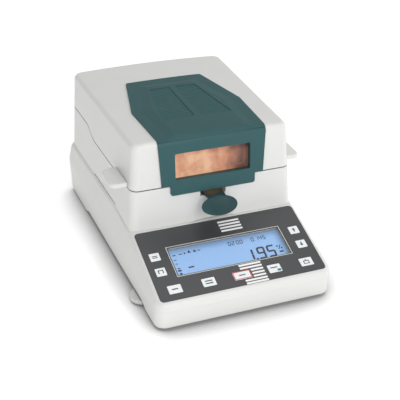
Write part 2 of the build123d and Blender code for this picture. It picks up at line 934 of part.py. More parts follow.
with BuildPart() as power_inlet:
    with BuildSketch(Plane.XZ.offset(-outer_y)):
        with Locations((inlet_x, inlet_z)):
            RectangleRounded(inlet_flange_w, inlet_flange_h, 4)
            with GridLocations(inlet_screw_pitch, 0, 2, 1):
                Circle(screw_r + bore_fit, mode=Mode.SUBTRACT)
    extrude(amount=-inlet_flange_t)
    with BuildSketch(Plane.XZ.offset(-outer_y)):
        with Locations((inlet_x, inlet_z)):
            Rectangle(inlet_hole_w - 2 * bore_fit, inlet_hole_h - 2 * bore_fit)
    extrude(amount=inlet_depth)
    with BuildSketch(Plane.XZ.offset(-outer_y - inlet_flange_t)) as socket_mouth:
        with Locations((inlet_x, inlet_z)):
            Rectangle(inlet_socket_w, inlet_socket_h)
        chamfer(socket_mouth.vertices().group_by(Axis.Y)[0], length=inlet_chamfer)
    extrude(amount=inlet_depth, mode=Mode.SUBTRACT)
finish(power_inlet.part, "power_inlet")

pin_spots = [
    (inlet_x - inlet_pin_pitch, inlet_z),
    (inlet_x + inlet_pin_pitch, inlet_z),
    (inlet_x, inlet_z + inlet_pin_drop),
]
with BuildPart() as inlet_pins:
    with BuildSketch(Plane.XZ.offset(inlet_depth - inlet_flange_t - outer_y)):
        with Locations(*pin_spots):
            Rectangle(2, 4)
    extrude(amount=-inlet_depth + inlet_flange_t + 3)
finish(inlet_pins.part, "inlet_pins")

with BuildPart() as fuse_cap:
    with BuildSketch(Plane.XZ.offset(-outer_y)):
        with Locations((fuse_x, inlet_z)):
            Circle(fuse_r + 1.6)
    extrude(amount=-3)
    fillet(fuse_cap.edges().sort_by(Axis.Y)[-1], radius=1)
    with BuildSketch(Plane.XZ.offset(-outer_y)):
        with Locations((fuse_x, inlet_z)):
            Circle(fuse_r)
    extrude(amount=26)
    with BuildSketch(Plane.XZ.offset(-outer_y - 3)):
        with Locations((fuse_x, inlet_z)):
            Rectangle(1.6, 10)
    extrude(amount=1.2, mode=Mode.SUBTRACT)
finish(fuse_cap.part, "fuse_cap")

with BuildPart() as serial_port:
    with BuildSketch(Plane.XZ.offset(-outer_y)):
        with Locations((serial_x, inlet_z)):
            RectangleRounded(serial_flange_w, serial_flange_h, 1.5)
    extrude(amount=-0.8)
    with BuildSketch(Plane.XZ.offset(-outer_y)) as shell_mouth:
        with Locations((serial_x, inlet_z)):
            Trapezoid(serial_shell_w, serial_shell_h, 80, align=(Align.CENTER, Align.CENTER))
        fillet(shell_mouth.vertices(), radius=2)
    extrude(amount=-serial_shell_out)
    extrude(shell_mouth.sketch, amount=9)
    with BuildSketch(Plane.XZ.offset(-outer_y - serial_shell_out)) as shell_inside:
        with Locations((serial_x, inlet_z)):
            Trapezoid(serial_shell_w, serial_shell_h, 80, align=(Align.CENTER, Align.CENTER))
        fillet(shell_inside.vertices(), radius=2)
        offset(amount=-serial_shell_t, kind=Kind.INTERSECTION)
    extrude(amount=serial_shell_out, mode=Mode.SUBTRACT)
    with BuildSketch(Plane.XZ.offset(-outer_y)):
        with Locations((serial_x, inlet_z)):
            with GridLocations(serial_screw_pitch, 0, 2, 1):
                RegularPolygon(2.7, 6)
    extrude(amount=-serial_shell_out + 0.6)
finish(serial_port.part, "serial_port")

# Weighing cell: a beam fixed at its back end, free under the dish
with BuildPart() as load_cell_bracket:
    with BuildSketch(Plane.XY.offset(skirt_bottom_z)):
        with Locations((0, cell_back_y - cell_mount)):
            Rectangle(2 * bracket_half_w, 2 * cell_mount)
    extrude(amount=tray_bottom_z + housing_wall + 5 - skirt_bottom_z)
    with BuildSketch(Plane.XY.offset(skirt_bottom_z)):
        with Locations((0, cell_back_y - cell_mount / 2)):
            Rectangle(cell_width, cell_mount)
    extrude(amount=cell_low_z - skirt_bottom_z)
    add(across(tray_side(housing_wall)), mode=Mode.INTERSECT)
finish(load_cell_bracket.part, "load_cell_bracket")

with BuildPart() as load_cell:
    with BuildSketch(Plane.XY.offset(cell_low_z)):
        with Locations((0, (cell_back_y + cell_front_y) / 2)):
            Rectangle(cell_width, cell_length)
    extrude(amount=cell_height)
    middle_z = cell_low_z + cell_height / 2
    with BuildSketch(Plane.YZ):
        with Locations(((cell_back_y + cell_front_y) / 2, middle_z)):
            SlotCenterToCenter(cell_mount, 2 * cell_window_r - 4)
            with GridLocations(cell_mount, 0, 2, 1):
                Circle(cell_window_r)
    extrude(amount=cell_width, both=True, mode=Mode.SUBTRACT)
finish(load_cell.part, "load_cell")

# Dish support: a spindle on the cell's free end with a three-armed cross
support_top_z = dish_floor_z - 0.1
with BuildPart() as pan_support:
    with BuildSketch(Plane.XY.offset(cell_low_z + cell_height)):
        with Locations(chamber_spot):
            Circle(spindle_r)
    extrude(amount=support_top_z - cell_low_z - cell_height)
    with BuildSketch(Plane.XY.offset(support_top_z - support_t)):
        with Locations(chamber_spot):
            Circle(2.2 * spindle_r)
            with PolarLocations(support_reach / 2, 3, start_angle=90):
                RectangleRounded(support_reach, support_arm_w, 3)
    extrude(amount=support_t)
finish(pan_support.part, "pan_support")

# Circuit boards
with BuildPart() as main_board:
    board_x = (board_left_x + board_right_x) / 2
    board_y = (board_front_y + board_back_y) / 2
    board_w = board_right_x - board_left_x + 2 * board_margin
    board_l = board_back_y - board_front_y + 2 * board_margin
    with BuildSketch(Plane.XY.offset(board_z)):
        with Locations((board_x, board_y)):
            Rectangle(board_w, board_l)
        with Locations(*board_posts):
            Circle(board_screw_r + bore_fit, mode=Mode.SUBTRACT)
    extrude(amount=board_t)
    with BuildSketch(Plane.XY.offset(board_z + board_t)):
        with Locations((board_x - 20, board_y + 8), (board_x + 28, board_y - 14)):
            Rectangle(16, 16)
        with Locations((board_x + 8, board_y - 26), (board_x - 44, board_y - 20)):
            Rectangle(10, 7)
    extrude(amount=1.6)
    with BuildSketch(Plane.XY.offset(board_z + board_t)):
        with Locations((board_x, board_back_y)):
            Rectangle(ribbon_w + 4, header_w)
    extrude(amount=header_h)
finish(main_board.part, "main_board")

with BuildPart() as power_supply:
    with BuildSketch(Plane.XY.offset(supply_z)):
        with Locations((supply_x, supply_y)):
            Rectangle(supply_w, supply_l)
        with Locations(*supply_posts):
            Circle(board_screw_r + bore_fit, mode=Mode.SUBTRACT)
    extrude(amount=board_t)
    with BuildSketch(Plane.XY.offset(supply_z + board_t)):
        with Locations((supply_x, supply_y + 20)):
            Rectangle(44, 38)
    extrude(amount=34)
    with BuildSketch(Plane.XY.offset(supply_z + board_t)):
        with Locations((supply_x, supply_y - 26)):
            with GridLocations(18, 20, 3, 2):
                Circle(6.5)
    extrude(amount=24)
finish(power_supply.part, "power_supply")

# All the board screws are alike: in the main board, the supply and the display board
with BuildPart() as board_screw:
    Cylinder(board_screw_head_r, 1.6, align=(Align.CENTER, Align.CENTER, Align.MIN))
    Cylinder(board_screw_r, board_screw_l, align=(Align.CENTER, Align.CENTER, Align.MAX))
with BuildPart() as board_screws:
    for spots, top_z in ((board_posts, board_z), (supply_posts, supply_z)):
        for x, y in spots:
            add(Pos(x, y, top_z + board_t) * board_screw.part)
    for x, v in display_posts:
        seat = board_plane.offset(-board_t).location * Pos(x, v, 0) * Rot(180, 0, 0)
        add(seat * board_screw.part)
finish(board_screws.part, "board_screws")

# Display board with its switches, parallel to the panel
with BuildPart() as display_board:
    with BuildSketch(board_plane):
        Rectangle(display_board_w, display_board_h)
        with Locations(*display_posts):
            Circle(board_screw_r + bore_fit, mode=Mode.SUBTRACT)
    extrude(amount=-board_t)
    with BuildSketch(board_plane.offset(-board_t)):
        with Locations((board_x, ribbon_v)):
            Rectangle(ribbon_w + 4, header_w)
    extrude(amount=-header_h / 2)
finish(display_board.part, "display_board")

ribbon_start = board_plane.from_local_coords((0, ribbon_v, -board_t - header_h / 2))
ribbon_turn = board_plane.from_local_coords((0, ribbon_v, -board_t - header_h))
with BuildPart() as ribbon_cable:
    with BuildSketch(Plane.YZ.offset(board_x - ribbon_w / 2)):
        with BuildLine():
            FilletPolyline(
                (ribbon_start.Y, ribbon_start.Z),
                (ribbon_turn.Y, ribbon_turn.Z),
                (board_back_y, ribbon_turn.Z),
                (board_back_y, board_z + board_t + header_h),
                radius=2.5,
            )
        trace(line_width=ribbon_t)
    extrude(amount=ribbon_w)
finish(ribbon_cable.part, "ribbon_cable")

with BuildPart() as key_switches:
    with BuildSketch(board_plane):
        for x, v, width in keys.values():
            with Locations((x, v)):
                Rectangle(switch_side, switch_side)
    extrude(amount=switch_body_h)
    with BuildSketch(board_plane.offset(switch_body_h)):
        for x, v, width in keys.values():
            with Locations((x, v)):
                Circle(switch_button_r)
    extrude(amount=switch_button_h)
finish(key_switches.part, "key_switches")

with BuildPart() as lcd_module:
    with BuildSketch(board_plane):
        with Locations((0, display_v)):
            Rectangle(display_w + 2 * lcd_margin, display_h + 2 * lcd_margin)
    extrude(amount=board_depth - housing_wall - fit)
    with BuildSketch(panel_plane.offset(-housing_wall - fit)):
        with Locations((0, display_v)):
            Rectangle(display_w - 2 * display_ledge, display_h - 2 * display_ledge)
    extrude(amount=-lcd_glass_t, mode=Mode.SUBTRACT)
finish(lcd_module.part, "lcd_module")

with BuildPart() as lcd_glass:
    with BuildSketch(panel_plane.offset(-housing_wall - fit)):
        with Locations((0, display_v)):
            Rectangle(display_w - 2 * display_ledge, display_h - 2 * display_ledge)
    extrude(amount=-lcd_glass_t)
finish(lcd_glass.part, "lcd_glass")

with BuildPart() as display_window:
    with BuildSketch(panel_plane):
        with Locations((0, display_v)):
            Rectangle(display_w - fit, display_h - fit)
    extrude(amount=-foil_t)
finish(display_window.part, "display_window")

with BuildPart() as keypad_foil:
    with BuildSketch(panel_plane):
        RectangleRounded(foil_width, foil_length, foil_corner_r)
        with Locations((0, display_v)):
            Rectangle(display_w, display_h, mode=Mode.SUBTRACT)
        for x, v, width in keys.values():
            with Locations((x, v)):
                RectangleRounded(width + 2 * key_fit, key_h + 2 * key_fit, key_corner_r + key_fit,
                                 mode=Mode.SUBTRACT)
    extrude(amount=-foil_t)
finish(keypad_foil.part, "keypad_foil")

# Keys: a cap in its hole, a flange that keeps it in, and a stem over its switch
for name, (x, v, width) in keys.items():
    flange_depth = housing_wall + key_rest_gap
    with BuildPart() as key:
        with BuildSketch(panel_plane.offset(key_proud)):
            with Locations((x, v)):
                RectangleRounded(width, key_h, key_corner_r)
        extrude(amount=-key_proud - flange_depth)
        chamfer(key.faces().sort_by(Axis.Z)[-1].edges(), length=0.2)
        with BuildSketch(panel_plane.offset(-flange_depth)):
            with Locations((x, v)):
                Rectangle(width + 2 * key_flange, key_h + 2 * key_flange)
        extrude(amount=-key_flange_t)
        with BuildSketch(panel_plane.offset(-flange_depth - key_flange_t)):
            with Locations((x, v)):
                Circle(switch_button_r)
        extrude(amount=flange_depth + key_flange_t + key_travel + 0.1 - switch_top_depth)
    finish(key.part, name)

# Chamber: sheet-metal well with the gripper's channel, draught shield, level, buffers
tray_channel_half = channel_half - fit
tray_channel_z = channel_floor_z + fit


def channel_plan(half_w, z):
    """Plan of the sheet channel, from the middle of the well to the front wall's inner face."""
    with BuildSketch(Plane.XY.offset(z)) as plan:
        with Locations((0, chamber_y)):
            Rectangle(2 * half_w, chamber_y - tray_front_y, align=(Align.CENTER, Align.MAX))
    return plan.sketch


with BuildPart() as chamber_tray:
    with BuildSketch(Plane.XY.offset(well_floor_z)):
        with Locations(chamber_spot):
            Circle(well_r + sheet_t)
    extrude(amount=deck_z - well_floor_z)
    extrude(channel_plan(tray_channel_half, tray_channel_z), amount=deck_z - tray_channel_z)
    with BuildSketch(Plane.XY.offset(deck_z)):
        with Locations(chamber_spot):
            Circle(well_r + well_flange)
    extrude(amount=sheet_t)
    extrude(channel_plan(tray_channel_half + 4, deck_z), amount=sheet_t)
    with BuildSketch(Plane.XY.offset(well_floor_z + sheet_t)):
        with Locations(chamber_spot):
            Circle(well_r)
    extrude(amount=well_r, mode=Mode.SUBTRACT)
    extrude(channel_plan(tray_channel_half - sheet_t, tray_channel_z + sheet_t), amount=well_r,
            mode=Mode.SUBTRACT)
    with BuildSketch(Plane.XY.offset(well_floor_z)):
        with Locations(chamber_spot):
            Circle(2 * spindle_r)
    extrude(amount=sheet_t, mode=Mode.SUBTRACT)
finish(chamber_tray.part, "chamber_tray")

with BuildPart() as draft_shield:
    shield_floor_z = well_floor_z + sheet_t
    with BuildSketch(Plane.XY.offset(shield_floor_z)):
        with Locations(chamber_spot):
            Circle(shield_foot_r)
    extrude(amount=sheet_t)
    with BuildSketch(Plane.XY.offset(shield_floor_z)):
        with Locations(chamber_spot):
            Circle(shield_inner_r + shield_t)
    extrude(amount=gripper_arm_z - 0.2 - shield_floor_z)
    with BuildSketch(Plane.XY.offset(shield_floor_z)):
        with Locations(chamber_spot):
            Circle(shield_inner_r)
    extrude(amount=well_r, mode=Mode.SUBTRACT)
finish(draft_shield.part, "draft_shield")

with BuildPart() as level_vial:
    with Locations(Location((level_x, level_y, deck_z))):
        Cylinder(level_r, level_h, align=(Align.CENTER, Align.CENTER, Align.MAX))
finish(level_vial.part, "level_vial")

with BuildPart() as level_bezel:
    with BuildSketch(Plane.XY.offset(deck_z)):
        with Locations((level_x, level_y)):
            Circle(level_r + 2.5)
            Circle(level_r - 1.5, mode=Mode.SUBTRACT)
    extrude(amount=sheet_t)
finish(level_bezel.part, "level_bezel")

with BuildPart() as hood_buffers:
    with BuildSketch(Plane.XY.offset(deck_z)):
        with Locations(*[(side * buffer_x, buffer_y) for side in both_sides]):
            Circle(buffer_r)
    extrude(amount=frame_z - 0.3 - deck_z)
finish(hood_buffers.part, "hood_buffers")

# Hinge: fixed brackets with their pins, on which the hood's arms turn
with BuildPart() as hinge_brackets:
    for side in both_sides:
        with BuildSketch(Plane.YZ.offset(side * bracket_x)):
            with BuildLine():
                Polyline(
                    (hinge_y - bracket_stem, deck_z),
                    (hinge_y, deck_z),
                    (hinge_y, hinge_z),
                    (hinge_y - eye_r, hinge_z),
                    close=True,
                )
            make_face()
            with Locations((hinge_y, hinge_z)):
                Circle(eye_r)
                Circle(pin_r + bore_fit, mode=Mode.SUBTRACT)
        extrude(amount=bracket_t / 2, both=True)
        with BuildSketch(Plane.XY.offset(deck_z)):
            with Locations((side * (bracket_x + bracket_t / 2), hinge_y)):
                Rectangle(bracket_foot, bracket_stem,
                          align=(Align.MAX if side > 0 else Align.MIN, Align.MAX))
        extrude(amount=bracket_foot_t)
    with BuildSketch(Plane.XY.offset(deck_z)):
        with Locations(*bracket_screw_spots):
            Circle(screw_r + bore_fit)
    extrude(amount=bracket_foot_t, mode=Mode.SUBTRACT)
finish(hinge_brackets.part, "hinge_brackets")

with BuildPart() as hinge_pins:
    for side in both_sides:
        for start, length, radius in (
            (pin_start_x, pin_end_x - pin_start_x, pin_r),
            (pin_end_x, pin_head_t, pin_head_r),
        ):
            with BuildSketch(Plane.YZ.offset(side * start)):
                with Locations((hinge_y, hinge_z)):
                    Circle(radius)
            extrude(amount=side * length)
finish(hinge_pins.part, "hinge_pins")

with BuildPart() as hinge_washers:
    for side in both_sides:
        with BuildSketch(Plane.YZ.offset(side * washer_x)):
            with Locations((hinge_y, hinge_z)):
                Circle(eye_r - 1)
                Circle(pin_r + bore_fit, mode=Mode.SUBTRACT)
        extrude(amount=side * (bracket_x - bracket_t / 2 - washer_x))
finish(hinge_washers.part, "hinge_washers")

# Short screws, all alike: two through each bracket's foot and two through the mains inlet
with BuildPart() as short_screw:
    Cylinder(screw_head_r, screw_head_h, align=(Align.CENTER, Align.CENTER, Align.MIN))
    Cylinder(screw_r, short_screw_l, align=(Align.CENTER, Align.CENTER, Align.MAX))
with BuildPart() as short_screws:
    for x, y in bracket_screw_spots:
        add(Pos(x, y, deck_z + bracket_foot_t) * short_screw.part)
    for side in both_sides:
        x = inlet_x + side * inlet_screw_pitch / 2
        add(Pos(x, outer_y + inlet_flange_t, inlet_z) * Rot(-90, 0, 0) * short_screw.part)
finish(short_screws.part, "short_screws")

# Sample gripper: wire-thin ring, plastic arm with its oval finger plate, and the dish
tongue_end_y = gripper_neck_back_y - gripper_tongue
with BuildPart() as gripper_ring:
    with BuildSketch(Plane.XY.offset(ring_z)):
        with Locations(chamber_spot):
            Circle(ring_outer_r)
        with Locations((0, chamber_y)):
            Rectangle(2 * gripper_tongue_half, chamber_y - tongue_end_y,
                      align=(Align.CENTER, Align.MAX))
        with Locations(chamber_spot):
            Circle(ring_inner_r, mode=Mode.SUBTRACT)
    extrude(amount=ring_t)
finish(gripper_ring.part, "gripper_ring")

oval_plane = Plane(
    origin=(0, oval_y, oval_z),
    x_dir=(1, 0, 0),
    z_dir=(0, -sin(radians(oval_tilt)), cos(radians(oval_tilt))),
)
with BuildPart() as finger_plate:
    with BuildSketch(oval_plane):
        Ellipse(oval_half_w, oval_half_h)
    extrude(amount=-oval_t)
    fillet(finger_plate.edges().filter_by(GeomType.ELLIPSE), radius=oval_edge_r)
    with Locations(oval_plane.offset(oval_dish_r - oval_dish_depth).location):
        Sphere(oval_dish_r, mode=Mode.SUBTRACT)
with BuildPart() as gripper_handle:
    with BuildSketch(Plane.XY.offset(gripper_neck_z)):
        with BuildLine():
            Polyline(
                (-gripper_arm_half, gripper_neck_back_y),
                (gripper_arm_half, gripper_neck_back_y),
                (gripper_neck_front_half, gripper_neck_front_y),
                (-gripper_neck_front_half, gripper_neck_front_y),
                close=True,
            )
        make_face()
    extrude(amount=gripper_neck_t)
    fillet(gripper_handle.faces().sort_by(Axis.Z)[-1].edges(), radius=0.8)
    add(finger_plate.part)
    with BuildSketch(Plane.XY.offset(ring_z)):
        with Locations((0, gripper_neck_back_y)):
            Rectangle(2 * gripper_tongue_half, gripper_tongue, align=(Align.CENTER, Align.MAX))
    extrude(amount=ring_t, mode=Mode.SUBTRACT)
finish(gripper_handle.part, "gripper_handle")

rim_z = ring_z + ring_t
with BuildPart() as sample_pan:
    with BuildSketch(Plane.XY.offset(dish_floor_z)):
        with Locations(chamber_spot):
            Circle(dish_r)
    extrude(amount=dish_h)
    with BuildSketch(Plane.XY.offset(rim_z)):
        with Locations(chamber_spot):
            Circle(dish_r + dish_rim_w)
    extrude(amount=dish_floor_z + dish_h - rim_z)
    fillet(sample_pan.edges().sort_by(SortBy.LENGTH)[-2:], radius=0.6)
    with BuildSketch(Plane.XY.offset(dish_floor_z + dish_t)):
        with Locations(chamber_spot):
            Circle(dish_r - dish_t)
    extrude(amount=dish_h, mode=Mode.SUBTRACT)
finish(sample_pan.part, "sample_pan")

# Hood shell, open under its dark cover and round at the back about the hinge
hood_boss_spots = [
    (side * x, y)
    for side in both_sides
    for x, y in (
        (hood_boss_x, hood_boss_front_y),
        (hood_boss_x, hood_boss_middle_y),
        (hood_boss_back_x, hood_boss_back_y),
    )
]
frame_top_z = frame_z + frame_t
cover_foot_z = parting_front_z + parting_gap
with BuildPart() as hood_inside:
    add(hood_form(hood_wall, hood_wall))
    add(across(hood_side(hood_wall)), mode=Mode.INTERSECT)
with BuildPart() as hood_bosses:
    with BuildSketch(Plane.XY.offset(frame_top_z)):
        with Locations(*hood_boss_spots):
            Circle(hood_boss_r)
    extrude(amount=overall_height - frame_top_z)
    add(hood_form(hood_wall / 2, hood_wall / 2), mode=Mode.INTERSECT)
with BuildPart() as cover_opening:
    extrude(cover_outline(cover_seat), amount=far)
    add(cover_front(cover_seat, seat_low_z), mode=Mode.INTERSECT)
with BuildPart() as hood_shell:
    add(hood_form(0, 0))
    add(across(hood_side(0)), mode=Mode.INTERSECT)
    add(hood_inside.part, mode=Mode.SUBTRACT)
    add(hood_bosses.part)
    add(cover_opening.part, mode=Mode.SUBTRACT)
    with Locations(*[Location((x, y, frame_top_z)) for x, y in hood_boss_spots]):
        Cylinder(screw_r, 2 * hood_screw_l, mode=Mode.SUBTRACT)
    for side in both_sides:
        with Locations(Location((side * bracket_x, hinge_y + hinge_r, hinge_z + 2))):
            Box(bracket_t + 2, 2 * hinge_r + 2, 2 * hinge_r + 4,
                align=(Align.CENTER, Align.CENTER, Align.MAX), mode=Mode.SUBTRACT)
finish(hood_shell.part, "hood_shell")

# Dark cover clipped over the hood: window tunnel, raised plateau and louvred vents
with BuildPart() as lip_front:
    with BuildSketch(Plane.XZ) as lip_outline:
        with Locations((0, lip_bottom_z)):
            Rectangle(2 * lip_half, 2 * (cover_foot_z - lip_bottom_z),
                      align=(Align.CENTER, Align.MIN))
        fillet(lip_outline.vertices().group_by(Axis.Y)[0], radius=lip_corner_r)
    extrude(amount=far)
with BuildPart() as cover_lip:
    add(block_form(-cover_front_t, lip_bottom_z - 10, cover_foot_z + 1))
    add(block_form(-lip_clear, lip_bottom_z - 20, cover_foot_z + 10), mode=Mode.SUBTRACT)
    add(lip_front.part, mode=Mode.INTERSECT)
with BuildPart() as plateau:
    plateau_base = crown_edge_z + 1
    plateau_run = (overall_height + 1 - plateau_base) / plateau_slope
    add(Pos(0, 0, plateau_base - shoulder_z) * cover_outline(0))
    add(Pos(0, 0, overall_height + 1 - shoulder_z) * cover_outline(plateau_run))
    loft(ruled=True)
    add(hood_form(-cover_front_t, -cover_top_t - plateau_rise), mode=Mode.INTERSECT)
with BuildPart() as window_tunnel:
    with BuildSketch(front_plane):
        RectangleRounded(2 * (window_half_w + window_rim), window_h + 2 * window_rim,
                         window_corner_r + window_rim)
    extrude(amount=-window_depth)
with BuildPart() as louvres:
    slat_count = round((vent_back_y - vent_front_y) / louvre_pitch)
    with Locations((0, (vent_front_y + vent_back_y) / 2, crown_top_z + cover_top_t)):
        with GridLocations(far, louvre_pitch, 1, slat_count):
            Box(2 * vent_front_half + 4, louvre_w, louvre_t, rotation=(louvre_angle, 0, 0))
    add(vent_block(louvre_root), mode=Mode.INTERSECT)
    add(hood_form(-cover_front_t, -cover_top_t - plateau_rise + louvre_sink), mode=Mode.INTERSECT)
    add(hood_form(0, 0), mode=Mode.SUBTRACT)
with BuildPart() as hood_cover:
    add(hood_form(-cover_front_t, -cover_top_t))
    add(extrude(cover_outline(0), amount=far, mode=Mode.PRIVATE), mode=Mode.INTERSECT)
    add(cover_front(0, cover_foot_z), mode=Mode.INTERSECT)
    add(plateau.part)
    add(hood_form(0, 0), mode=Mode.SUBTRACT)
    add(vent_block(0), mode=Mode.SUBTRACT)
    add(louvres.part)
    add(cover_lip.part)
    add(window_tunnel.part)
    with BuildSketch(front_plane.offset(far / 2)):
        RectangleRounded(2 * window_half_w, window_h, window_corner_r)
    extrude(amount=-far / 2 - window_depth - 1, mode=Mode.SUBTRACT)
finish(hood_cover.part, "hood_cover")

with BuildPart() as viewing_window:
    with BuildSketch(front_plane.offset(-window_depth)):
        RectangleRounded(2 * (window_half_w + window_rim), window_h + 2 * window_rim,
                         window_corner_r + window_rim)
    extrude(amount=-pane_t)
finish(viewing_window.part, "viewing_window")

# Inside the hood: frame, liner, glass, reflector, lamps and the temperature probe
liner_mid_y = (liner_front_y + liner_back_y) / 2
liner_l = liner_back_y - liner_front_y
with BuildPart() as hood_frame:
    add(block_form(hood_wall + fit, frame_z, frame_top_z))
    with BuildSketch(Plane.XY.offset(frame_z)) as frame_cut:
        with Locations((0, liner_mid_y)):
            Rectangle(2 * (liner_half + fit), liner_l + 2 * fit)
        with Locations((0, frame_back_y)):
            Rectangle(far, far, align=(Align.CENTER, Align.MIN))
        with Locations((0, liner_front_y)):
            Rectangle(2 * (window_half_w + window_rim + fit), far, align=(Align.CENTER, Align.MAX))
    extrude(amount=frame_t, mode=Mode.SUBTRACT)
    with BuildSketch(Plane.XY.offset(frame_z)):
        with Locations(*hood_boss_spots):
            Circle(screw_r + bore_fit)
    extrude(amount=frame_t, mode=Mode.SUBTRACT)
finish(hood_frame.part, "hood_frame")

with BuildPart() as hood_screws:
    for x, y in hood_boss_spots:
        with Locations(Location((x, y, frame_z))):
            Cylinder(screw_head_r, screw_head_h, align=(Align.CENTER, Align.CENTER, Align.MAX))
            Cylinder(screw_r, hood_screw_l, align=(Align.CENTER, Align.CENTER, Align.MIN))
finish(hood_screws.part, "hood_screws")

with BuildPart() as hood_liner:
    with BuildSketch(Plane.XY.offset(liner_bottom_z)):
        with Locations((0, liner_mid_y)):
            Rectangle(2 * liner_half, liner_l)
    extrude(amount=liner_top_z - liner_bottom_z)
    with BuildSketch(Plane.XY.offset(frame_top_z)):
        with Locations((0, liner_mid_y)):
            Rectangle(2 * (liner_half + liner_flange), liner_l + 2 * liner_flange)
    extrude(amount=sheet_t)
    with BuildSketch(Plane.XY.offset(liner_bottom_z + sheet_t)):
        with Locations((0, liner_mid_y)):
            Rectangle(2 * (liner_half - sheet_t), liner_l - 2 * sheet_t)
    extrude(amount=liner_top_z - liner_bottom_z - 2 * sheet_t, mode=Mode.SUBTRACT)
    with BuildSketch(Plane.XY.offset(liner_bottom_z)):
        with Locations((0, liner_mid_y)):
            Rectangle(2 * (liner_half - liner_lip), liner_l - 2 * liner_lip)
    extrude(amount=sheet_t, mode=Mode.SUBTRACT)
    with BuildSketch(Plane.XZ.offset(-liner_front_y)):
        with Locations((0, (liner_window_low_z + liner_window_high_z) / 2)):
            Rectangle(2 * window_half_w, liner_window_high_z - liner_window_low_z)
    extrude(amount=-sheet_t - 1, mode=Mode.SUBTRACT)
    with BuildSketch(Plane.XY.offset(liner_top_z)):
        with Locations((0, liner_mid_y)):
            with GridLocations(2 * roof_slot_x, roof_slot_pitch, 2, roof_slots):
                SlotOverall(roof_slot_l, roof_slot_w)
    extrude(amount=-sheet_t - 1, mode=Mode.SUBTRACT)
finish(hood_liner.part, "hood_liner")

with BuildPart() as protective_glass:
    with BuildSketch(Plane.XY.offset(liner_bottom_z + sheet_t)):
        with Locations((0, liner_mid_y)):
            Rectangle(2 * (liner_half - sheet_t - fit), liner_l - 2 * (sheet_t + fit))
    extrude(amount=glass_t)
finish(protective_glass.part, "protective_glass")

lamp_spots = [chamber_y - lamp_spread, chamber_y + lamp_spread]
trough_top_z = liner_top_z - sheet_t - reflector_t / 2
with BuildPart() as reflector:
    with BuildSketch(Plane.YZ.offset(-reflector_half)):
        with BuildLine():
            for y in lamp_spots:
                ThreePointArc(
                    (y - lamp_spread, reflector_low_z),
                    (y, trough_top_z),
                    (y + lamp_spread, reflector_low_z),
                )
        trace(line_width=reflector_t)
    extrude(amount=2 * reflector_half)
finish(reflector.part, "reflector")

with BuildPart() as halogen_lamps:
    for y in lamp_spots:
        with Locations(Location((0, y, lamp_z))):
            Cylinder(lamp_r, 2 * reflector_half, rotation=(0, 90, 0))
finish(halogen_lamps.part, "halogen_lamps")

with BuildPart() as lamp_sockets:
    for side in both_sides:
        for y in lamp_spots:
            with Locations(Location((side * reflector_half, y, lamp_z))):
                Box(liner_half - sheet_t - reflector_half, socket_w, socket_w,
                    align=(Align.MIN if side > 0 else Align.MAX, Align.CENTER, Align.CENTER))
finish(lamp_sockets.part, "lamp_sockets")

probe_z = liner_bottom_z - probe_drop
with BuildPart() as temperature_probe:
    with BuildLine() as probe_path:
        FilletPolyline(
            (0, probe_y, liner_bottom_z), (0, probe_y, probe_z), (0, probe_y - probe_reach, probe_z),
            radius=probe_bend_r,
        )
    with BuildSketch(Plane.XY.offset(liner_bottom_z)):
        with Locations((0, probe_y)):
            Circle(probe_r)
    sweep(path=probe_path.line)
finish(temperature_probe.part, "temperature_probe")

# Side grips and the hinge arms
with BuildPart() as side_grips:
    with BuildSketch(Plane.XY.offset(cover_foot_z)) as grip_plan:
        with Locations((0, (grip_front_y + grip_back_y) / 2)):
            with GridLocations(2 * grip_reach_x - grip_root, 0, 2, 1):
                Rectangle(grip_root, grip_back_y - grip_front_y)
        fillet(grip_plan.vertices(), radius=grip_corner_r)
    extrude(amount=grip_t)
    fillet(side_grips.faces().filter_by(Axis.Z).sort_by(Axis.Z)[2:].edges(), radius=grip_edge_r)
    fillet(side_grips.faces().filter_by(Axis.Z).sort_by(Axis.Z)[:2].edges(), radius=grip_edge_r / 2)
    add(block_form(0, shoulder_z, overall_height + 20), mode=Mode.SUBTRACT)
finish(side_grips.part, "side_grips")

with BuildPart() as hinge_arms:
    for side in both_sides:
        with BuildSketch(Plane.YZ.offset(side * arm_x)):
            with Locations((hinge_y, hinge_z)):
                Circle(eye_r)
            with BuildLine():
                Polyline(
                    (arm_front_y, frame_top_z),
                    (hinge_y, frame_top_z),
                    (hinge_y, hinge_z + eye_r),
                    (hinge_y - eye_r, hinge_z + eye_r),
                    (arm_front_y, frame_top_z + arm_foot_t),
                    close=True,
                )
            make_face()
            with Locations((hinge_y, hinge_z)):
                Circle(pin_r + running_fit, mode=Mode.SUBTRACT)
        extrude(amount=arm_t / 2, both=True)
        with BuildSketch(Plane.XY.offset(frame_top_z)):
            with Locations((side * (arm_x + arm_t / 2), arm_front_y)):
                Rectangle(arm_foot_w, frame_back_y - arm_front_y,
                          align=(Align.MAX if side > 0 else Align.MIN, Align.MIN))
        extrude(amount=arm_foot_t)
finish(hinge_arms.part, "hinge_arms")
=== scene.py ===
"""Looks of a benchtop halogen moisture analyser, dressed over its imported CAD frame."""

from __future__ import annotations

import json
import logging
import math
from dataclasses import dataclass, field
from enum import Enum
from typing import Any, Iterable, Protocol, Sequence

import bmesh
import bpy
from mathutils import Matrix, Vector

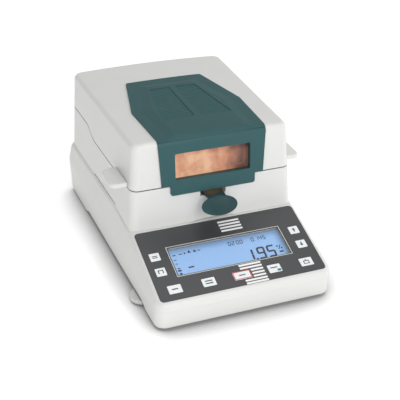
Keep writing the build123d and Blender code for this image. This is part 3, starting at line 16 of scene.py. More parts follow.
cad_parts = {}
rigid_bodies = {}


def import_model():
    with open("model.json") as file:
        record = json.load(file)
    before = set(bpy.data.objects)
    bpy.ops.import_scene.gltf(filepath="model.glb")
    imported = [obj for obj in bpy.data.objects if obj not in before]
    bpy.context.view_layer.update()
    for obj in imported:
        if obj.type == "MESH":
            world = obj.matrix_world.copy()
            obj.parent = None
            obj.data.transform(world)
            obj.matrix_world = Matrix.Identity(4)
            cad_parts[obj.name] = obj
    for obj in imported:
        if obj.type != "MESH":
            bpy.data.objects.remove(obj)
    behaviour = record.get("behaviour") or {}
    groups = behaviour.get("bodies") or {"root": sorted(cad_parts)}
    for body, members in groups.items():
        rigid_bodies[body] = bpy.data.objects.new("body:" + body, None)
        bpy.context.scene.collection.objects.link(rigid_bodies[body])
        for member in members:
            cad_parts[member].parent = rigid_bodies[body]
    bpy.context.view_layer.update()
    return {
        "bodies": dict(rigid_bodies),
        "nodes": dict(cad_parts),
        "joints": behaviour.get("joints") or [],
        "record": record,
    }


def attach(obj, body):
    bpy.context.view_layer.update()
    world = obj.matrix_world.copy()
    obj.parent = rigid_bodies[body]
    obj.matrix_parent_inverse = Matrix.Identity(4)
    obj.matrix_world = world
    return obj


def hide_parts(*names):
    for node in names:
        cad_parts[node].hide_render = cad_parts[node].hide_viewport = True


LOG = logging.getLogger("moisture_analyser")
MM = 0.001
# Tone of the painted shade in the joints and corners of moulded parts.
PAINTED_SHADE_TONE = "272727"
Outline = Sequence[tuple[float, float]]


def srgb(code: str) -> tuple[float, float, float, float]:
    """Turn an sRGB hex colour into linear RGBA.

    Args:
        code: six hex digits, such as "ECEBE8".

    Returns:
        The linear colour with an alpha of one.
    """
    shares = [int(code[i : i + 2], 16) / 255 for i in (0, 2, 4)]
    linear = [c / 12.92 if c <= 0.04045 else ((c + 0.055) / 1.055) ** 2.4 for c in shares]
    return (linear[0], linear[1], linear[2], 1.0)


def per_mm(size_mm: float) -> float:
    """Texture scale whose pattern repeats about every size_mm in a frame of metres."""
    return 1000.0 / size_mm


def add_node(
    tree: bpy.types.NodeTree,
    kind: str,
    inputs: dict[str | int, Any] | None = None,
    **settings: Any,
) -> bpy.types.Node:
    """Add one node with its settings, and set or link its inputs.

    Args:
        tree: the material's node tree.
        kind: the node's Blender type name.
        inputs: per input, a value or the output socket that feeds it.
        settings: properties set on the node itself.

    Returns:
        The new node.
    """
    node = tree.nodes.new(kind)
    for key, value in settings.items():
        setattr(node, key, value)
    for key, value in (inputs or {}).items():
        if isinstance(value, bpy.types.NodeSocket):
            tree.links.new(value, node.inputs[key])
        else:
            node.inputs[key].default_value = value
    return node


def new_tree(name: str) -> tuple[bpy.types.Material, bpy.types.NodeTree, bpy.types.NodeSocket]:
    """Make an empty node material.

    Args:
        name: the material's name.

    Returns:
        The material, its tree and the socket that gives places in metres.
    """
    material = bpy.data.materials.new(name)
    material.use_nodes = True
    tree = material.node_tree
    tree.nodes.clear()
    place = add_node(tree, "ShaderNodeTexCoord").outputs["Object"]
    return material, tree, place


def close_tree(tree: bpy.types.NodeTree, shader: bpy.types.Node) -> None:
    """Wire a shader to the material's output."""
    add_node(tree, "ShaderNodeOutputMaterial", {"Surface": shader.outputs[0]})


def put_in_scene(piece: bpy.types.Object) -> bpy.types.Object:
    """Link an object to the scene and give it back."""
    bpy.context.scene.collection.objects.link(piece)
    return piece


def close_mesh(name: str, shape: bmesh.types.BMesh) -> bpy.types.Mesh:
    """Turn an edit mesh into a mesh and free it.

    Args:
        name: the mesh's name.
        shape: the edit mesh.

    Returns:
        The new mesh.
    """
    mesh = bpy.data.meshes.new(name)
    shape.to_mesh(mesh)
    shape.free()
    return mesh


class Finish(Protocol):
    """What every surface finish offers."""

    @property
    def name(self) -> str:
        """The material's name."""
        ...

    def material(self) -> bpy.types.Material:
        """Build the material."""
        ...


class Grain(Enum):
    """Finish of a moulding tool's face: size and depth of its drawn grain, in mm.

    The real grain is about 0.3 mm wide; it is drawn as coarse as it needs to show.
    """

    SPARK_ERODED = (0.9, 0.05)
    SATIN = (1.6, 0.02)
    POLISHED = (6.0, 0.006)


@dataclass(frozen=True)
class OpaqueMoulding:
    """Moulded or pressed opaque part, mostly ABS.

    The eye gets an even colour with a soft sheen, the tool's fine grain and painted shade in
    joints.
    """

    name: str
    colour: str
    shade: str
    roughness: float = 0.42
    grain: Grain = Grain.SPARK_ERODED
    edge_mm: float = 0.35
    cloud_mm: float = 45.0
    painted_shade_reach_mm: float = 3.5
    painted_shade_shares: tuple[float, float] = (0.2, 0.72)
    specular: float = 0.5

    def material(self) -> bpy.types.Material:
        """Build the material: mottled colour, grain, softly broken edges and painted shade in
        joints.

        Returns:
            The material.
        """
        material, tree, place = new_tree(self.name)
        grain_mm, depth_mm = self.grain.value
        fine = add_node(tree, "ShaderNodeTexNoise",
                        {"Vector": place, "Scale": per_mm(grain_mm), "Detail": 3.0})
        cloud = add_node(tree, "ShaderNodeTexNoise",
                         {"Vector": place, "Scale": per_mm(self.cloud_mm), "Detail": 4.0})
        tone = add_node(tree, "ShaderNodeMix",
                        {"Factor": cloud.outputs["Fac"], "A": srgb(self.colour),
                         "B": srgb(self.shade)}, data_type="RGBA")
        sheen = add_node(tree, "ShaderNodeMapRange",
                         {"Value": fine.outputs["Fac"], "To Min": self.roughness - 0.05,
                          "To Max": self.roughness + 0.07})
        # Painted shade: joints and corners get a darker tone where the occlusion finds them closed
        # in.
        painted_shade_occlusion = add_node(tree, "ShaderNodeAmbientOcclusion",
                           {"Distance": self.painted_shade_reach_mm * MM}, samples=8)
        openness = add_node(tree, "ShaderNodeMapRange",
                            {"Value": painted_shade_occlusion.outputs["AO"],
                             "From Min": self.painted_shade_shares[0],
                             "From Max": self.painted_shade_shares[1], "To Min": 0.0, "To Max": 1.0})
        shaded = add_node(tree, "ShaderNodeMix",
                          {"Factor": openness.outputs[0], "A": srgb(PAINTED_SHADE_TONE),
                           "B": tone.outputs["Result"]}, data_type="RGBA")
        edge = add_node(tree, "ShaderNodeBevel", {"Radius": self.edge_mm * MM}, samples=4)
        bump = add_node(tree, "ShaderNodeBump",
                        {"Height": fine.outputs["Fac"], "Strength": 0.35,
                         "Distance": depth_mm * MM, "Normal": edge.outputs[0]})
        shader = add_node(tree, "ShaderNodeBsdfPrincipled",
                          {"Base Color": shaded.outputs["Result"], "Roughness": sheen.outputs[0],
                           "Normal": bump.outputs[0], "IOR": 1.53,
                           "Specular IOR Level": self.specular})
        close_tree(tree, shader)
        return material


@dataclass(frozen=True)
class PrintedFilm:
    """Polyester keypad film printed from behind. The eye gets a flat dark tone, faintly pebbled."""

    name: str
    colour: str
    roughness: float = 0.36

    def material(self) -> bpy.types.Material:
        """Build the material: even ink under a hard-coated velvet face.

        Returns:
            The material.
        """
        material, tree, place = new_tree(self.name)
        # The hard coat's pebble is 0.2 mm; it is drawn at 0.7 mm so that it breaks the gloss.
        pebble = add_node(tree, "ShaderNodeTexVoronoi", {"Vector": place, "Scale": per_mm(0.7)})
        drift = add_node(tree, "ShaderNodeTexNoise",
                         {"Vector": place, "Scale": per_mm(60.0), "Detail": 2.0})
        value = add_node(tree, "ShaderNodeMapRange",
                         {"Value": drift.outputs["Fac"], "To Min": 0.94, "To Max": 1.06})
        tone = add_node(tree, "ShaderNodeHueSaturation",
                        {"Color": srgb(self.colour), "Value": value.outputs[0]})
        bump = add_node(tree, "ShaderNodeBump",
                        {"Height": pebble.outputs["Distance"], "Strength": 0.2,
                         "Distance": 0.01 * MM})
        shader = add_node(tree, "ShaderNodeBsdfPrincipled",
                          {"Base Color": tone.outputs[0], "Roughness": self.roughness,
                           "Normal": bump.outputs[0], "IOR": 1.6})
        close_tree(tree, shader)
        return material


@dataclass(frozen=True)
class ClearSheet:
    """Glass or acrylic sheet. The eye looks through it and sees a clean, sharp gloss."""

    name: str
    tint: str
    alpha: float
    roughness: float = 0.05

    def material(self) -> bpy.types.Material:
        """Build the material: a thin see-through sheet with faint wipe marks in its gloss.

        Returns:
            The material.
        """
        material, tree, place = new_tree(self.name)
        wipe = add_node(tree, "ShaderNodeTexNoise",
                        {"Vector": place, "Scale": per_mm(30.0), "Detail": 5.0})
        gloss = add_node(tree, "ShaderNodeMapRange",
                         {"Value": wipe.outputs["Fac"], "To Min": self.roughness,
                          "To Max": self.roughness + 0.08})
        shader = add_node(tree, "ShaderNodeBsdfPrincipled",
                          {"Base Color": srgb(self.tint), "Roughness": gloss.outputs[0],
                           "Alpha": self.alpha, "IOR": 1.5})
        close_tree(tree, shader)
        return material


@dataclass(frozen=True)
class PaneWithPaintedGlow:
    """Coated pane before the lit chamber. Painted on it: a hazy warm glow, brighter to the left."""

    name: str
    bright: str
    middle: str
    dim: str
    strength: float
    patch_mm: float
    painted_shade_right_mm: tuple[float, float]
    painted_shade_top_mm: tuple[float, float]
    right_share: float = 0.22
    top_share: float = 0.6
    patch_shares: tuple[float, float] = (0.62, 1.12)
    dim_below: float = 0.15
    middle_at: float = 0.6

    def material(self) -> bpy.types.Material:
        """Build the material: painted patches of light, with painted shade at the right and the
        top.

        Returns:
            The material.
        """
        material, tree, place = new_tree(self.name)
        apart = add_node(tree, "ShaderNodeSeparateXYZ", {"Vector": place})
        # Painted shade of the frame: the glow is darker toward the right and toward the top.
        across = add_node(tree, "ShaderNodeMapRange",
                          {"Value": apart.outputs["X"], "From Min": self.painted_shade_right_mm[0] * MM,
                           "From Max": self.painted_shade_right_mm[1] * MM, "To Min": 1.0,
                           "To Max": self.right_share}, interpolation_type="SMOOTHSTEP")
        upward = add_node(tree, "ShaderNodeMapRange",
                          {"Value": apart.outputs["Z"], "From Min": self.painted_shade_top_mm[0] * MM,
                           "From Max": self.painted_shade_top_mm[1] * MM, "To Min": 1.0,
                           "To Max": self.top_share}, interpolation_type="SMOOTHSTEP")
        # The patches are stretched, a little more upward than across.
        drawn = add_node(tree, "ShaderNodeMapping",
                         {"Vector": place, "Scale": (0.8, 1.0, 0.6)})
        haze = add_node(tree, "ShaderNodeTexNoise",
                        {"Vector": drawn.outputs[0], "Scale": per_mm(self.patch_mm),
                         "Detail": 3.0})
        patch = add_node(tree, "ShaderNodeMapRange",
                         {"Value": haze.outputs["Fac"], "From Min": 0.35, "From Max": 0.65,
                          "To Min": self.patch_shares[0], "To Max": self.patch_shares[1]})
        spread = add_node(tree, "ShaderNodeMath",
                          {0: across.outputs[0], 1: patch.outputs[0]}, operation="MULTIPLY")
        level = add_node(tree, "ShaderNodeMath",
                         {0: spread.outputs[0], 1: upward.outputs[0]}, operation="MULTIPLY")
        ramp = add_node(tree, "ShaderNodeValToRGB", {"Fac": level.outputs[0]})
        ramp.color_ramp.elements[0].position = self.dim_below
        ramp.color_ramp.elements[0].color = srgb(self.dim)
        ramp.color_ramp.elements[1].position = 1.0
        ramp.color_ramp.elements[1].color = srgb(self.bright)
        ramp.color_ramp.elements.new(self.middle_at).color = srgb(self.middle)
        # The chamber's light is painted on the pane as emission.
        shader = add_node(tree, "ShaderNodeBsdfPrincipled",
                          {"Base Color": srgb(self.dim), "Roughness": 0.2, "Alpha": 0.93,
                           "Emission Color": ramp.outputs["Color"],
                           "Emission Strength": self.strength})
        close_tree(tree, shader)
        return material


@dataclass(frozen=True)
class RolledMetal:
    """Rolled or brushed sheet. The eye gets long fine lines that stretch each highlight."""

    name: str
    colour: str
    roughness: float
    line_mm: float = 0.8
    stretch: float = 40.0

    def material(self) -> bpy.types.Material:
        """Build the material: streaks along X in both the gloss and the surface.

        Returns:
            The material.
        """
        material, tree, place = new_tree(self.name)
        # Brush lines are a few hundredths wide; they are drawn at line_mm so that they show.
        drawn = add_node(tree, "ShaderNodeMapping",
                         {"Vector": place, "Scale": (1.0 / self.stretch, 1.0, 1.0)})
        lines = add_node(tree, "ShaderNodeTexNoise",
                         {"Vector": drawn.outputs[0], "Scale": per_mm(self.line_mm),
                          "Detail": 4.0})
        gloss = add_node(tree, "ShaderNodeMapRange",
                         {"Value": lines.outputs["Fac"], "To Min": self.roughness - 0.08,
                          "To Max": self.roughness + 0.12})
        bump = add_node(tree, "ShaderNodeBump",
                        {"Height": lines.outputs["Fac"], "Strength": 0.15,
                         "Distance": 0.02 * MM})
        shader = add_node(tree, "ShaderNodeBsdfPrincipled",
                          {"Base Color": srgb(self.colour), "Metallic": 1.0,
                           "Roughness": gloss.outputs[0], "Normal": bump.outputs[0]})
        close_tree(tree, shader)
        return material


@dataclass(frozen=True)
class Rubber:
    """Moulded rubber. The eye gets a dull, slightly dusty black."""

    name: str
    colour: str

    def material(self) -> bpy.types.Material:
        """Build the material: rough, with a faint bloom.

        Returns:
            The material.
        """
        material, tree, place = new_tree(self.name)
        bloom = add_node(tree, "ShaderNodeTexNoise",
                         {"Vector": place, "Scale": per_mm(3.0), "Detail": 6.0})
        rough = add_node(tree, "ShaderNodeMapRange",
                         {"Value": bloom.outputs["Fac"], "To Min": 0.7, "To Max": 0.95})
        bump = add_node(tree, "ShaderNodeBump",
                        {"Height": bloom.outputs["Fac"], "Strength": 0.3,
                         "Distance": 0.05 * MM})
        shader = add_node(tree, "ShaderNodeBsdfPrincipled",
                          {"Base Color": srgb(self.colour), "Roughness": rough.outputs[0],
                           "Normal": bump.outputs[0]})
        close_tree(tree, shader)
        return material


@dataclass(frozen=True)
class HotWire:
    """Tungsten wire, drawn and coiled, at full heat. The eye gets a warm glare."""

    name: str
    colour: str
    strength: float
    body: str = "202020"
    drift_mm: float = 10.0

    def material(self) -> bpy.types.Material:
        """Build the material: light that drifts a little along the wire.

        Returns:
            The material.
        """
        material, tree, place = new_tree(self.name)
        drift = add_node(tree, "ShaderNodeTexNoise",
                         {"Vector": place, "Scale": per_mm(self.drift_mm), "Detail": 1.0})
        power = add_node(tree, "ShaderNodeMapRange",
                         {"Value": drift.outputs["Fac"], "To Min": self.strength * 0.85,
                          "To Max": self.strength * 1.15})
        shader = add_node(tree, "ShaderNodeBsdfPrincipled",
                          {"Base Color": srgb(self.body), "Roughness": 0.3,
                           "Emission Color": srgb(self.colour),
                           "Emission Strength": power.outputs[0]})
        close_tree(tree, shader)
        return material


@dataclass(frozen=True)
class BacklitDisplay:
    """Blue liquid crystal. The eye gets an even glow, with painted bezel shade at top and right."""

    name: str
    colour: str
    shaded: str
    body: str
    strength: float
    painted_shade_top_mm: tuple[float, float]
    painted_shade_right_mm: tuple[float, float]

    def material(self) -> bpy.types.Material:
        """Build the material: glow with a painted soft shadow under the bezel's top and right edge.

        Returns:
            The material.
        """
        material, tree, place = new_tree(self.name)
        apart = add_node(tree, "ShaderNodeSeparateXYZ", {"Vector": place})
        # Painted shadow of the bezel: the glow darkens toward the top and the right edge.
        edges = [
            add_node(tree, "ShaderNodeMapRange",
                     {"Value": apart.outputs[axis], "From Min": span[0] * MM,
                      "From Max": span[1] * MM, "To Min": 1.0, "To Max": 0.0},
                     interpolation_type="SMOOTHSTEP")
            for axis, span in (("Z", self.painted_shade_top_mm), ("X", self.painted_shade_right_mm))
        ]
        cloud = add_node(tree, "ShaderNodeTexNoise",
                         {"Vector": place, "Scale": per_mm(30.0), "Detail": 2.0})
        drift = add_node(tree, "ShaderNodeMapRange",
                         {"Value": cloud.outputs["Fac"], "To Min": 0.9, "To Max": 1.05})
        both = add_node(tree, "ShaderNodeMath",
                        {0: edges[0].outputs[0], 1: edges[1].outputs[0]}, operation="MULTIPLY")
        level = add_node(tree, "ShaderNodeMath", {0: both.outputs[0], 1: drift.outputs[0]},
                         operation="MULTIPLY")
        glow = add_node(tree, "ShaderNodeMix",
                        {"Factor": level.outputs[0], "A": srgb(self.shaded),
                         "B": srgb(self.colour)}, data_type="RGBA")
        shader = add_node(tree, "ShaderNodeBsdfPrincipled",
                          {"Base Color": srgb(self.body), "Roughness": 0.35,
                           "Emission Color": glow.outputs["Result"],
                           "Emission Strength": self.strength})
        close_tree(tree, shader)
        return material


@dataclass(frozen=True)
class Ink:
    """Screen-printed or liquid-crystal mark. The eye gets one tone, thinner where it is patchy."""

    name: str
    colour: str
    roughness: float = 0.45

    def material(self) -> bpy.types.Material:
        """Build the material: a tone with the screen's slight unevenness.

        Returns:
            The material.
        """
        material, tree, place = new_tree(self.name)
        patch = add_node(tree, "ShaderNodeTexNoise",
                         {"Vector": place, "Scale": per_mm(4.0), "Detail": 2.0})
        rough = add_node(tree, "ShaderNodeMapRange",
                         {"Value": patch.outputs["Fac"], "To Min": self.roughness - 0.05,
                          "To Max": self.roughness + 0.1})
        shader = add_node(tree, "ShaderNodeBsdfPrincipled",
                          {"Base Color": srgb(self.colour), "Roughness": rough.outputs[0]})
        close_tree(tree, shader)
        return material


WHITE = OpaqueMoulding("abs_light_grey_spark_eroded", "DDDDDB", "D8D8D5")
TEAL = OpaqueMoulding("abs_dark_teal_satin", "2C5759", "285053", roughness=0.46,
                      grain=Grain.SATIN, edge_mm=0.0, specular=0.32)
TEAL_GRIP = OpaqueMoulding("abs_dark_teal_finger_plate", "204245", "1C3B3E", roughness=0.4,
                           grain=Grain.SATIN, specular=0.35)
BLACK = OpaqueMoulding("abs_black_satin", "1B1C1D", "242526", roughness=0.5, grain=Grain.SATIN)
KEY_WHITE = OpaqueMoulding("key_cap_white_satin", "F2F4F4", "E9EDEE", roughness=0.4,
                           grain=Grain.SATIN, edge_mm=0.2)
FOOT_GREY = OpaqueMoulding("polyamide_light_grey_moulded", "DEDEDA", "D6D6D1", roughness=0.5,
                           grain=Grain.SATIN)
NYLON = OpaqueMoulding("nylon_natural_moulded", "E4E1D6", "DAD6C8", roughness=0.5,
                       grain=Grain.SATIN)
STEATITE = OpaqueMoulding("steatite_ceramic_pressed", "E9E3D4", "DCD4C2", roughness=0.75)
CIRCUIT = OpaqueMoulding("fr4_solder_resist_green", "14502E", "1B5E37", roughness=0.3,
                         grain=Grain.POLISHED)
RIBBON = OpaqueMoulding("pvc_grey_flat_cable", "9A9DA0", "8B8E92", roughness=0.5,
                        grain=Grain.SATIN)
FILM = PrintedFilm("polyester_film_slate_print", "3C3D3F")
WINDOW = ClearSheet("acrylic_display_lens", "F2F6F8", 0.03)
# The viewing window's glow is painted light, with painted shade at the right and the top.
PAINTED_CHAMBER_GLOW = PaneWithPaintedGlow("coated_glass_painted_chamber_glow", "FFCCA2", "E09C78", "3E2420", strength=0.7,
                    patch_mm=11.0, painted_shade_right_mm=(-9.3, 46.5), painted_shade_top_mm=(147.52, 159.0))
CLEAR = ClearSheet("borosilicate_glass_clear", "E8F0EE", 0.16, roughness=0.03)
QUARTZ = ClearSheet("quartz_tube_clear", "FFE7CC", 0.25)
VIAL = ClearSheet("level_vial_spirit", "B7D24A", 0.55)
LCD = BacklitDisplay("liquid_crystal_blue_backlight", "98C0EE", "1E3850", "5C7BA2",
                     strength=0.58, painted_shade_top_mm=(52.6, 57.4), painted_shade_right_mm=(58.0, 72.0))
FILAMENT = HotWire("tungsten_filament_hot", "FF9A4A", strength=45.0)
STAINLESS = RolledMetal("stainless_sheet_brushed", "C9C9C6", 0.3)
ZINC = RolledMetal("steel_sheet_zinc_plated", "B9BCBE", 0.38)
ALUMINIUM = RolledMetal("aluminium_sheet_drawn", "D4D5D6", 0.3, line_mm=1.2, stretch=3.0)
REFLECTOR = RolledMetal("aluminium_reflector_polished", "E8E2D6", 0.12)
NICKEL = RolledMetal("nickel_plated_shell", "C8C4BA", 0.22)
RUBBER = Rubber("rubber_black_moulded", "18181A")
INK_WHITE = Ink("screen_ink_white", "F4F4F2")
INK_CREAM = Ink("screen_ink_cream", "E2E1D8")
INK_DARK = Ink("screen_ink_dark_blue", "3C505E")
INK_RED = Ink("screen_ink_red", "D3213C")
INK_TEAL = Ink("screen_ink_teal", "0F7F93")
LCD_DARK = Ink("liquid_crystal_segment_dark", "0E1836", roughness=0.6)
LCD_FAINT = Ink("liquid_crystal_segment_faint", "2C405F", roughness=0.5)


@dataclass
class Workshop:
    """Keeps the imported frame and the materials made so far."""

    frame: dict[str, Any]
    made: dict[str, bpy.types.Material] = field(default_factory=dict)

    def material(self, finish: Finish) -> bpy.types.Material:
        """Build a finish's material once and give it back each time.

        Args:
            finish: the finish.

        Returns:
            Its material.
        """
        if finish.name not in self.made:
            self.made[finish.name] = finish.material()
        return self.made[finish.name]

    def dress(self, finish: Finish, *nodes: str) -> None:
        """Give CAD nodes a finish.

        Args:
            finish: the finish to put on.
            nodes: names of CAD nodes.
        """
        for name in nodes:
            mesh = self.frame["nodes"][name].data
            mesh.materials.clear()
            mesh.materials.append(self.material(finish))
            LOG.info("dressed %s with %s", name, finish.name)

    def add_piece(self, name: str, mesh: bpy.types.Mesh, finish: Finish, body: str,
                  slot: str) -> bpy.types.Object:
        """Put a new piece in the scene and let it ride on a body.

        Args:
            name: the piece's name.
            mesh: its mesh, in the row frame.
            finish: its finish.
            body: the CAD body that it moves with.
            slot: the record's material slot that it stands under; not used.

        Returns:
            The new object.
        """
        piece = put_in_scene(bpy.data.objects.new(name, mesh))
        mesh.materials.append(self.material(finish))
        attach(piece, body)
        LOG.info("built %s on %s", name, body)
        return piece


@dataclass(frozen=True)
class PanelPlane:
    """The sloped control panel's plane: x across, v up the slope, lift out of it, all in mm."""

    back_y: float = -77.9
    back_z: float = 68.2
    front_y: float = -177.0
    front_z: float = 38.0

    def point(self, x: float, v: float, lift: float) -> Vector:
        """Find where a spot on the panel lies in the row frame.

        Args:
            x: place across the panel.
            v: place up the slope, from the slope's middle.
            lift: height over the film.

        Returns:
            The place in metres.
        """
        run, rise = self.back_y - self.front_y, self.back_z - self.front_z
        length = math.hypot(run, rise)
        y = (self.back_y + self.front_y) / 2 + v * run / length - lift * rise / length
        z = (self.back_z + self.front_z) / 2 + v * rise / length + lift * run / length
        return Vector((x, y, z)) * MM

    def prints(self, name: str, outlines: Iterable[Outline], low: float,
               high: float) -> bpy.types.Mesh:
        """Thin prisms on the panel, one per outline.

        Args:
            name: the mesh's name.
            outlines: closed outlines of (x, v) points.
            low: lift of their underside.
            high: lift of their top.

        Returns:
            One mesh with all the prisms.
        """
        shape = bmesh.new()
        for outline in outlines:
            under = [shape.verts.new(self.point(x, v, low)) for x, v in outline]
            top = [shape.verts.new(self.point(x, v, high)) for x, v in outline]
            shape.faces.new(top)
            shape.faces.new(list(reversed(under)))
            for i in range(len(outline)):
                j = (i + 1) % len(outline)
                shape.faces.new((under[i], under[j], top[j], top[i]))
        bmesh.ops.recalc_face_normals(shape, faces=shape.faces)
        return close_mesh(name, shape)


def bar(x: float, v: float, width: float, height: float, slant: float = 0.0) -> Outline:
    """Draw a bar round its middle.

    Args:
        x: middle across.
        v: middle up.
        width: size across.
        height: size up.
        slant: how far it leans to the right per unit of height.

    Returns:
        Its closed outline.
    """
    half_w, half_h = width / 2, height / 2
    return [
        (x - half_w - slant * half_h, v - half_h),
        (x + half_w - slant * half_h, v - half_h),
        (x + half_w + slant * half_h, v + half_h),
        (x - half_w + slant * half_h, v + half_h),
    ]


def frame_bars(x: float, v: float, width: float, height: float, line: float) -> list[Outline]:
    """Draw a rectangular frame as four bars.

    Args:
        x: middle across.
        v: middle up.
        width: size across, over the outside.
        height: size up, over the outside.
        line: width of the line.

    Returns:
        The four bars' outlines.
    """
    return [
        bar(x, v + (height - line) / 2, width, line),
        bar(x, v - (height - line) / 2, width, line),
        bar(x - (width - line) / 2, v, line, height - 2 * line),
        bar(x + (width - line) / 2, v, line, height - 2 * line),
    ]


def shifted(outline: Outline, x: float, v: float) -> Outline:
    """Move an outline by x across and v up."""
    return [(x + dx, v + dv) for dx, dv in outline]


@dataclass(frozen=True)
class SegmentDigits:
    """Seven-segment figures of a liquid crystal, leaning a little to the right. Sizes in mm."""

    height: float
    line: float
    slant: float = 0.08
    width_share: float = 0.5
    overlap_share: float = 0.5
    lit: dict[str, str] = field(default_factory=lambda: {
        "0": "abcdef", "1": "bc", "2": "abged", "3": "abgcd", "4": "fgbc", "5": "afgcd",
        "6": "afgedc", "7": "abc", "8": "abcdefg", "9": "abcdfg"})

    def segment(self, x: float, v: float, across: bool, length: float) -> Outline:
        """Draw one segment with pointed ends.

        Args:
            x: its middle across.
            v: its middle up.
            across: whether it lies, or else stands.
            length: size from tip to tip.

        Returns:
            Its closed outline.
        """
        tip, half = self.line / 2, length / 2
        spots = [(-half, 0.0), (-half + tip, -tip), (half - tip, -tip), (half, 0.0),
                 (half - tip, tip), (-half + tip, tip)]
        if not across:
            spots = [(rise, run) for run, rise in spots]
        return [(x + dx + self.slant * dv, v + dv) for dx, dv in spots]

    def figure(self, sign: str, x: float, v: float) -> list[Outline]:
        """Draw one figure.

        Args:
            sign: a digit from 0 to 9.
            x: middle of the figure across the panel.
            v: middle of the figure up the panel.

        Returns:
            The lit segments' outlines.
        """
        wide, tall = self.height * self.width_share, self.height / 2
        spots = {
            "a": (0.0, tall, True), "g": (0.0, 0.0, True), "d": (0.0, -tall, True),
            "f": (-wide / 2, tall / 2, False), "b": (wide / 2, tall / 2, False),
            "e": (-wide / 2, -tall / 2, False), "c": (wide / 2, -tall / 2, False),
        }
        return [
            self.segment(x + dx + self.slant * dv, v + dv, across,
                         (wide if across else tall) + self.overlap_share * self.line)
            for dx, dv, across in (spots[place] for place in self.lit[sign])
        ]


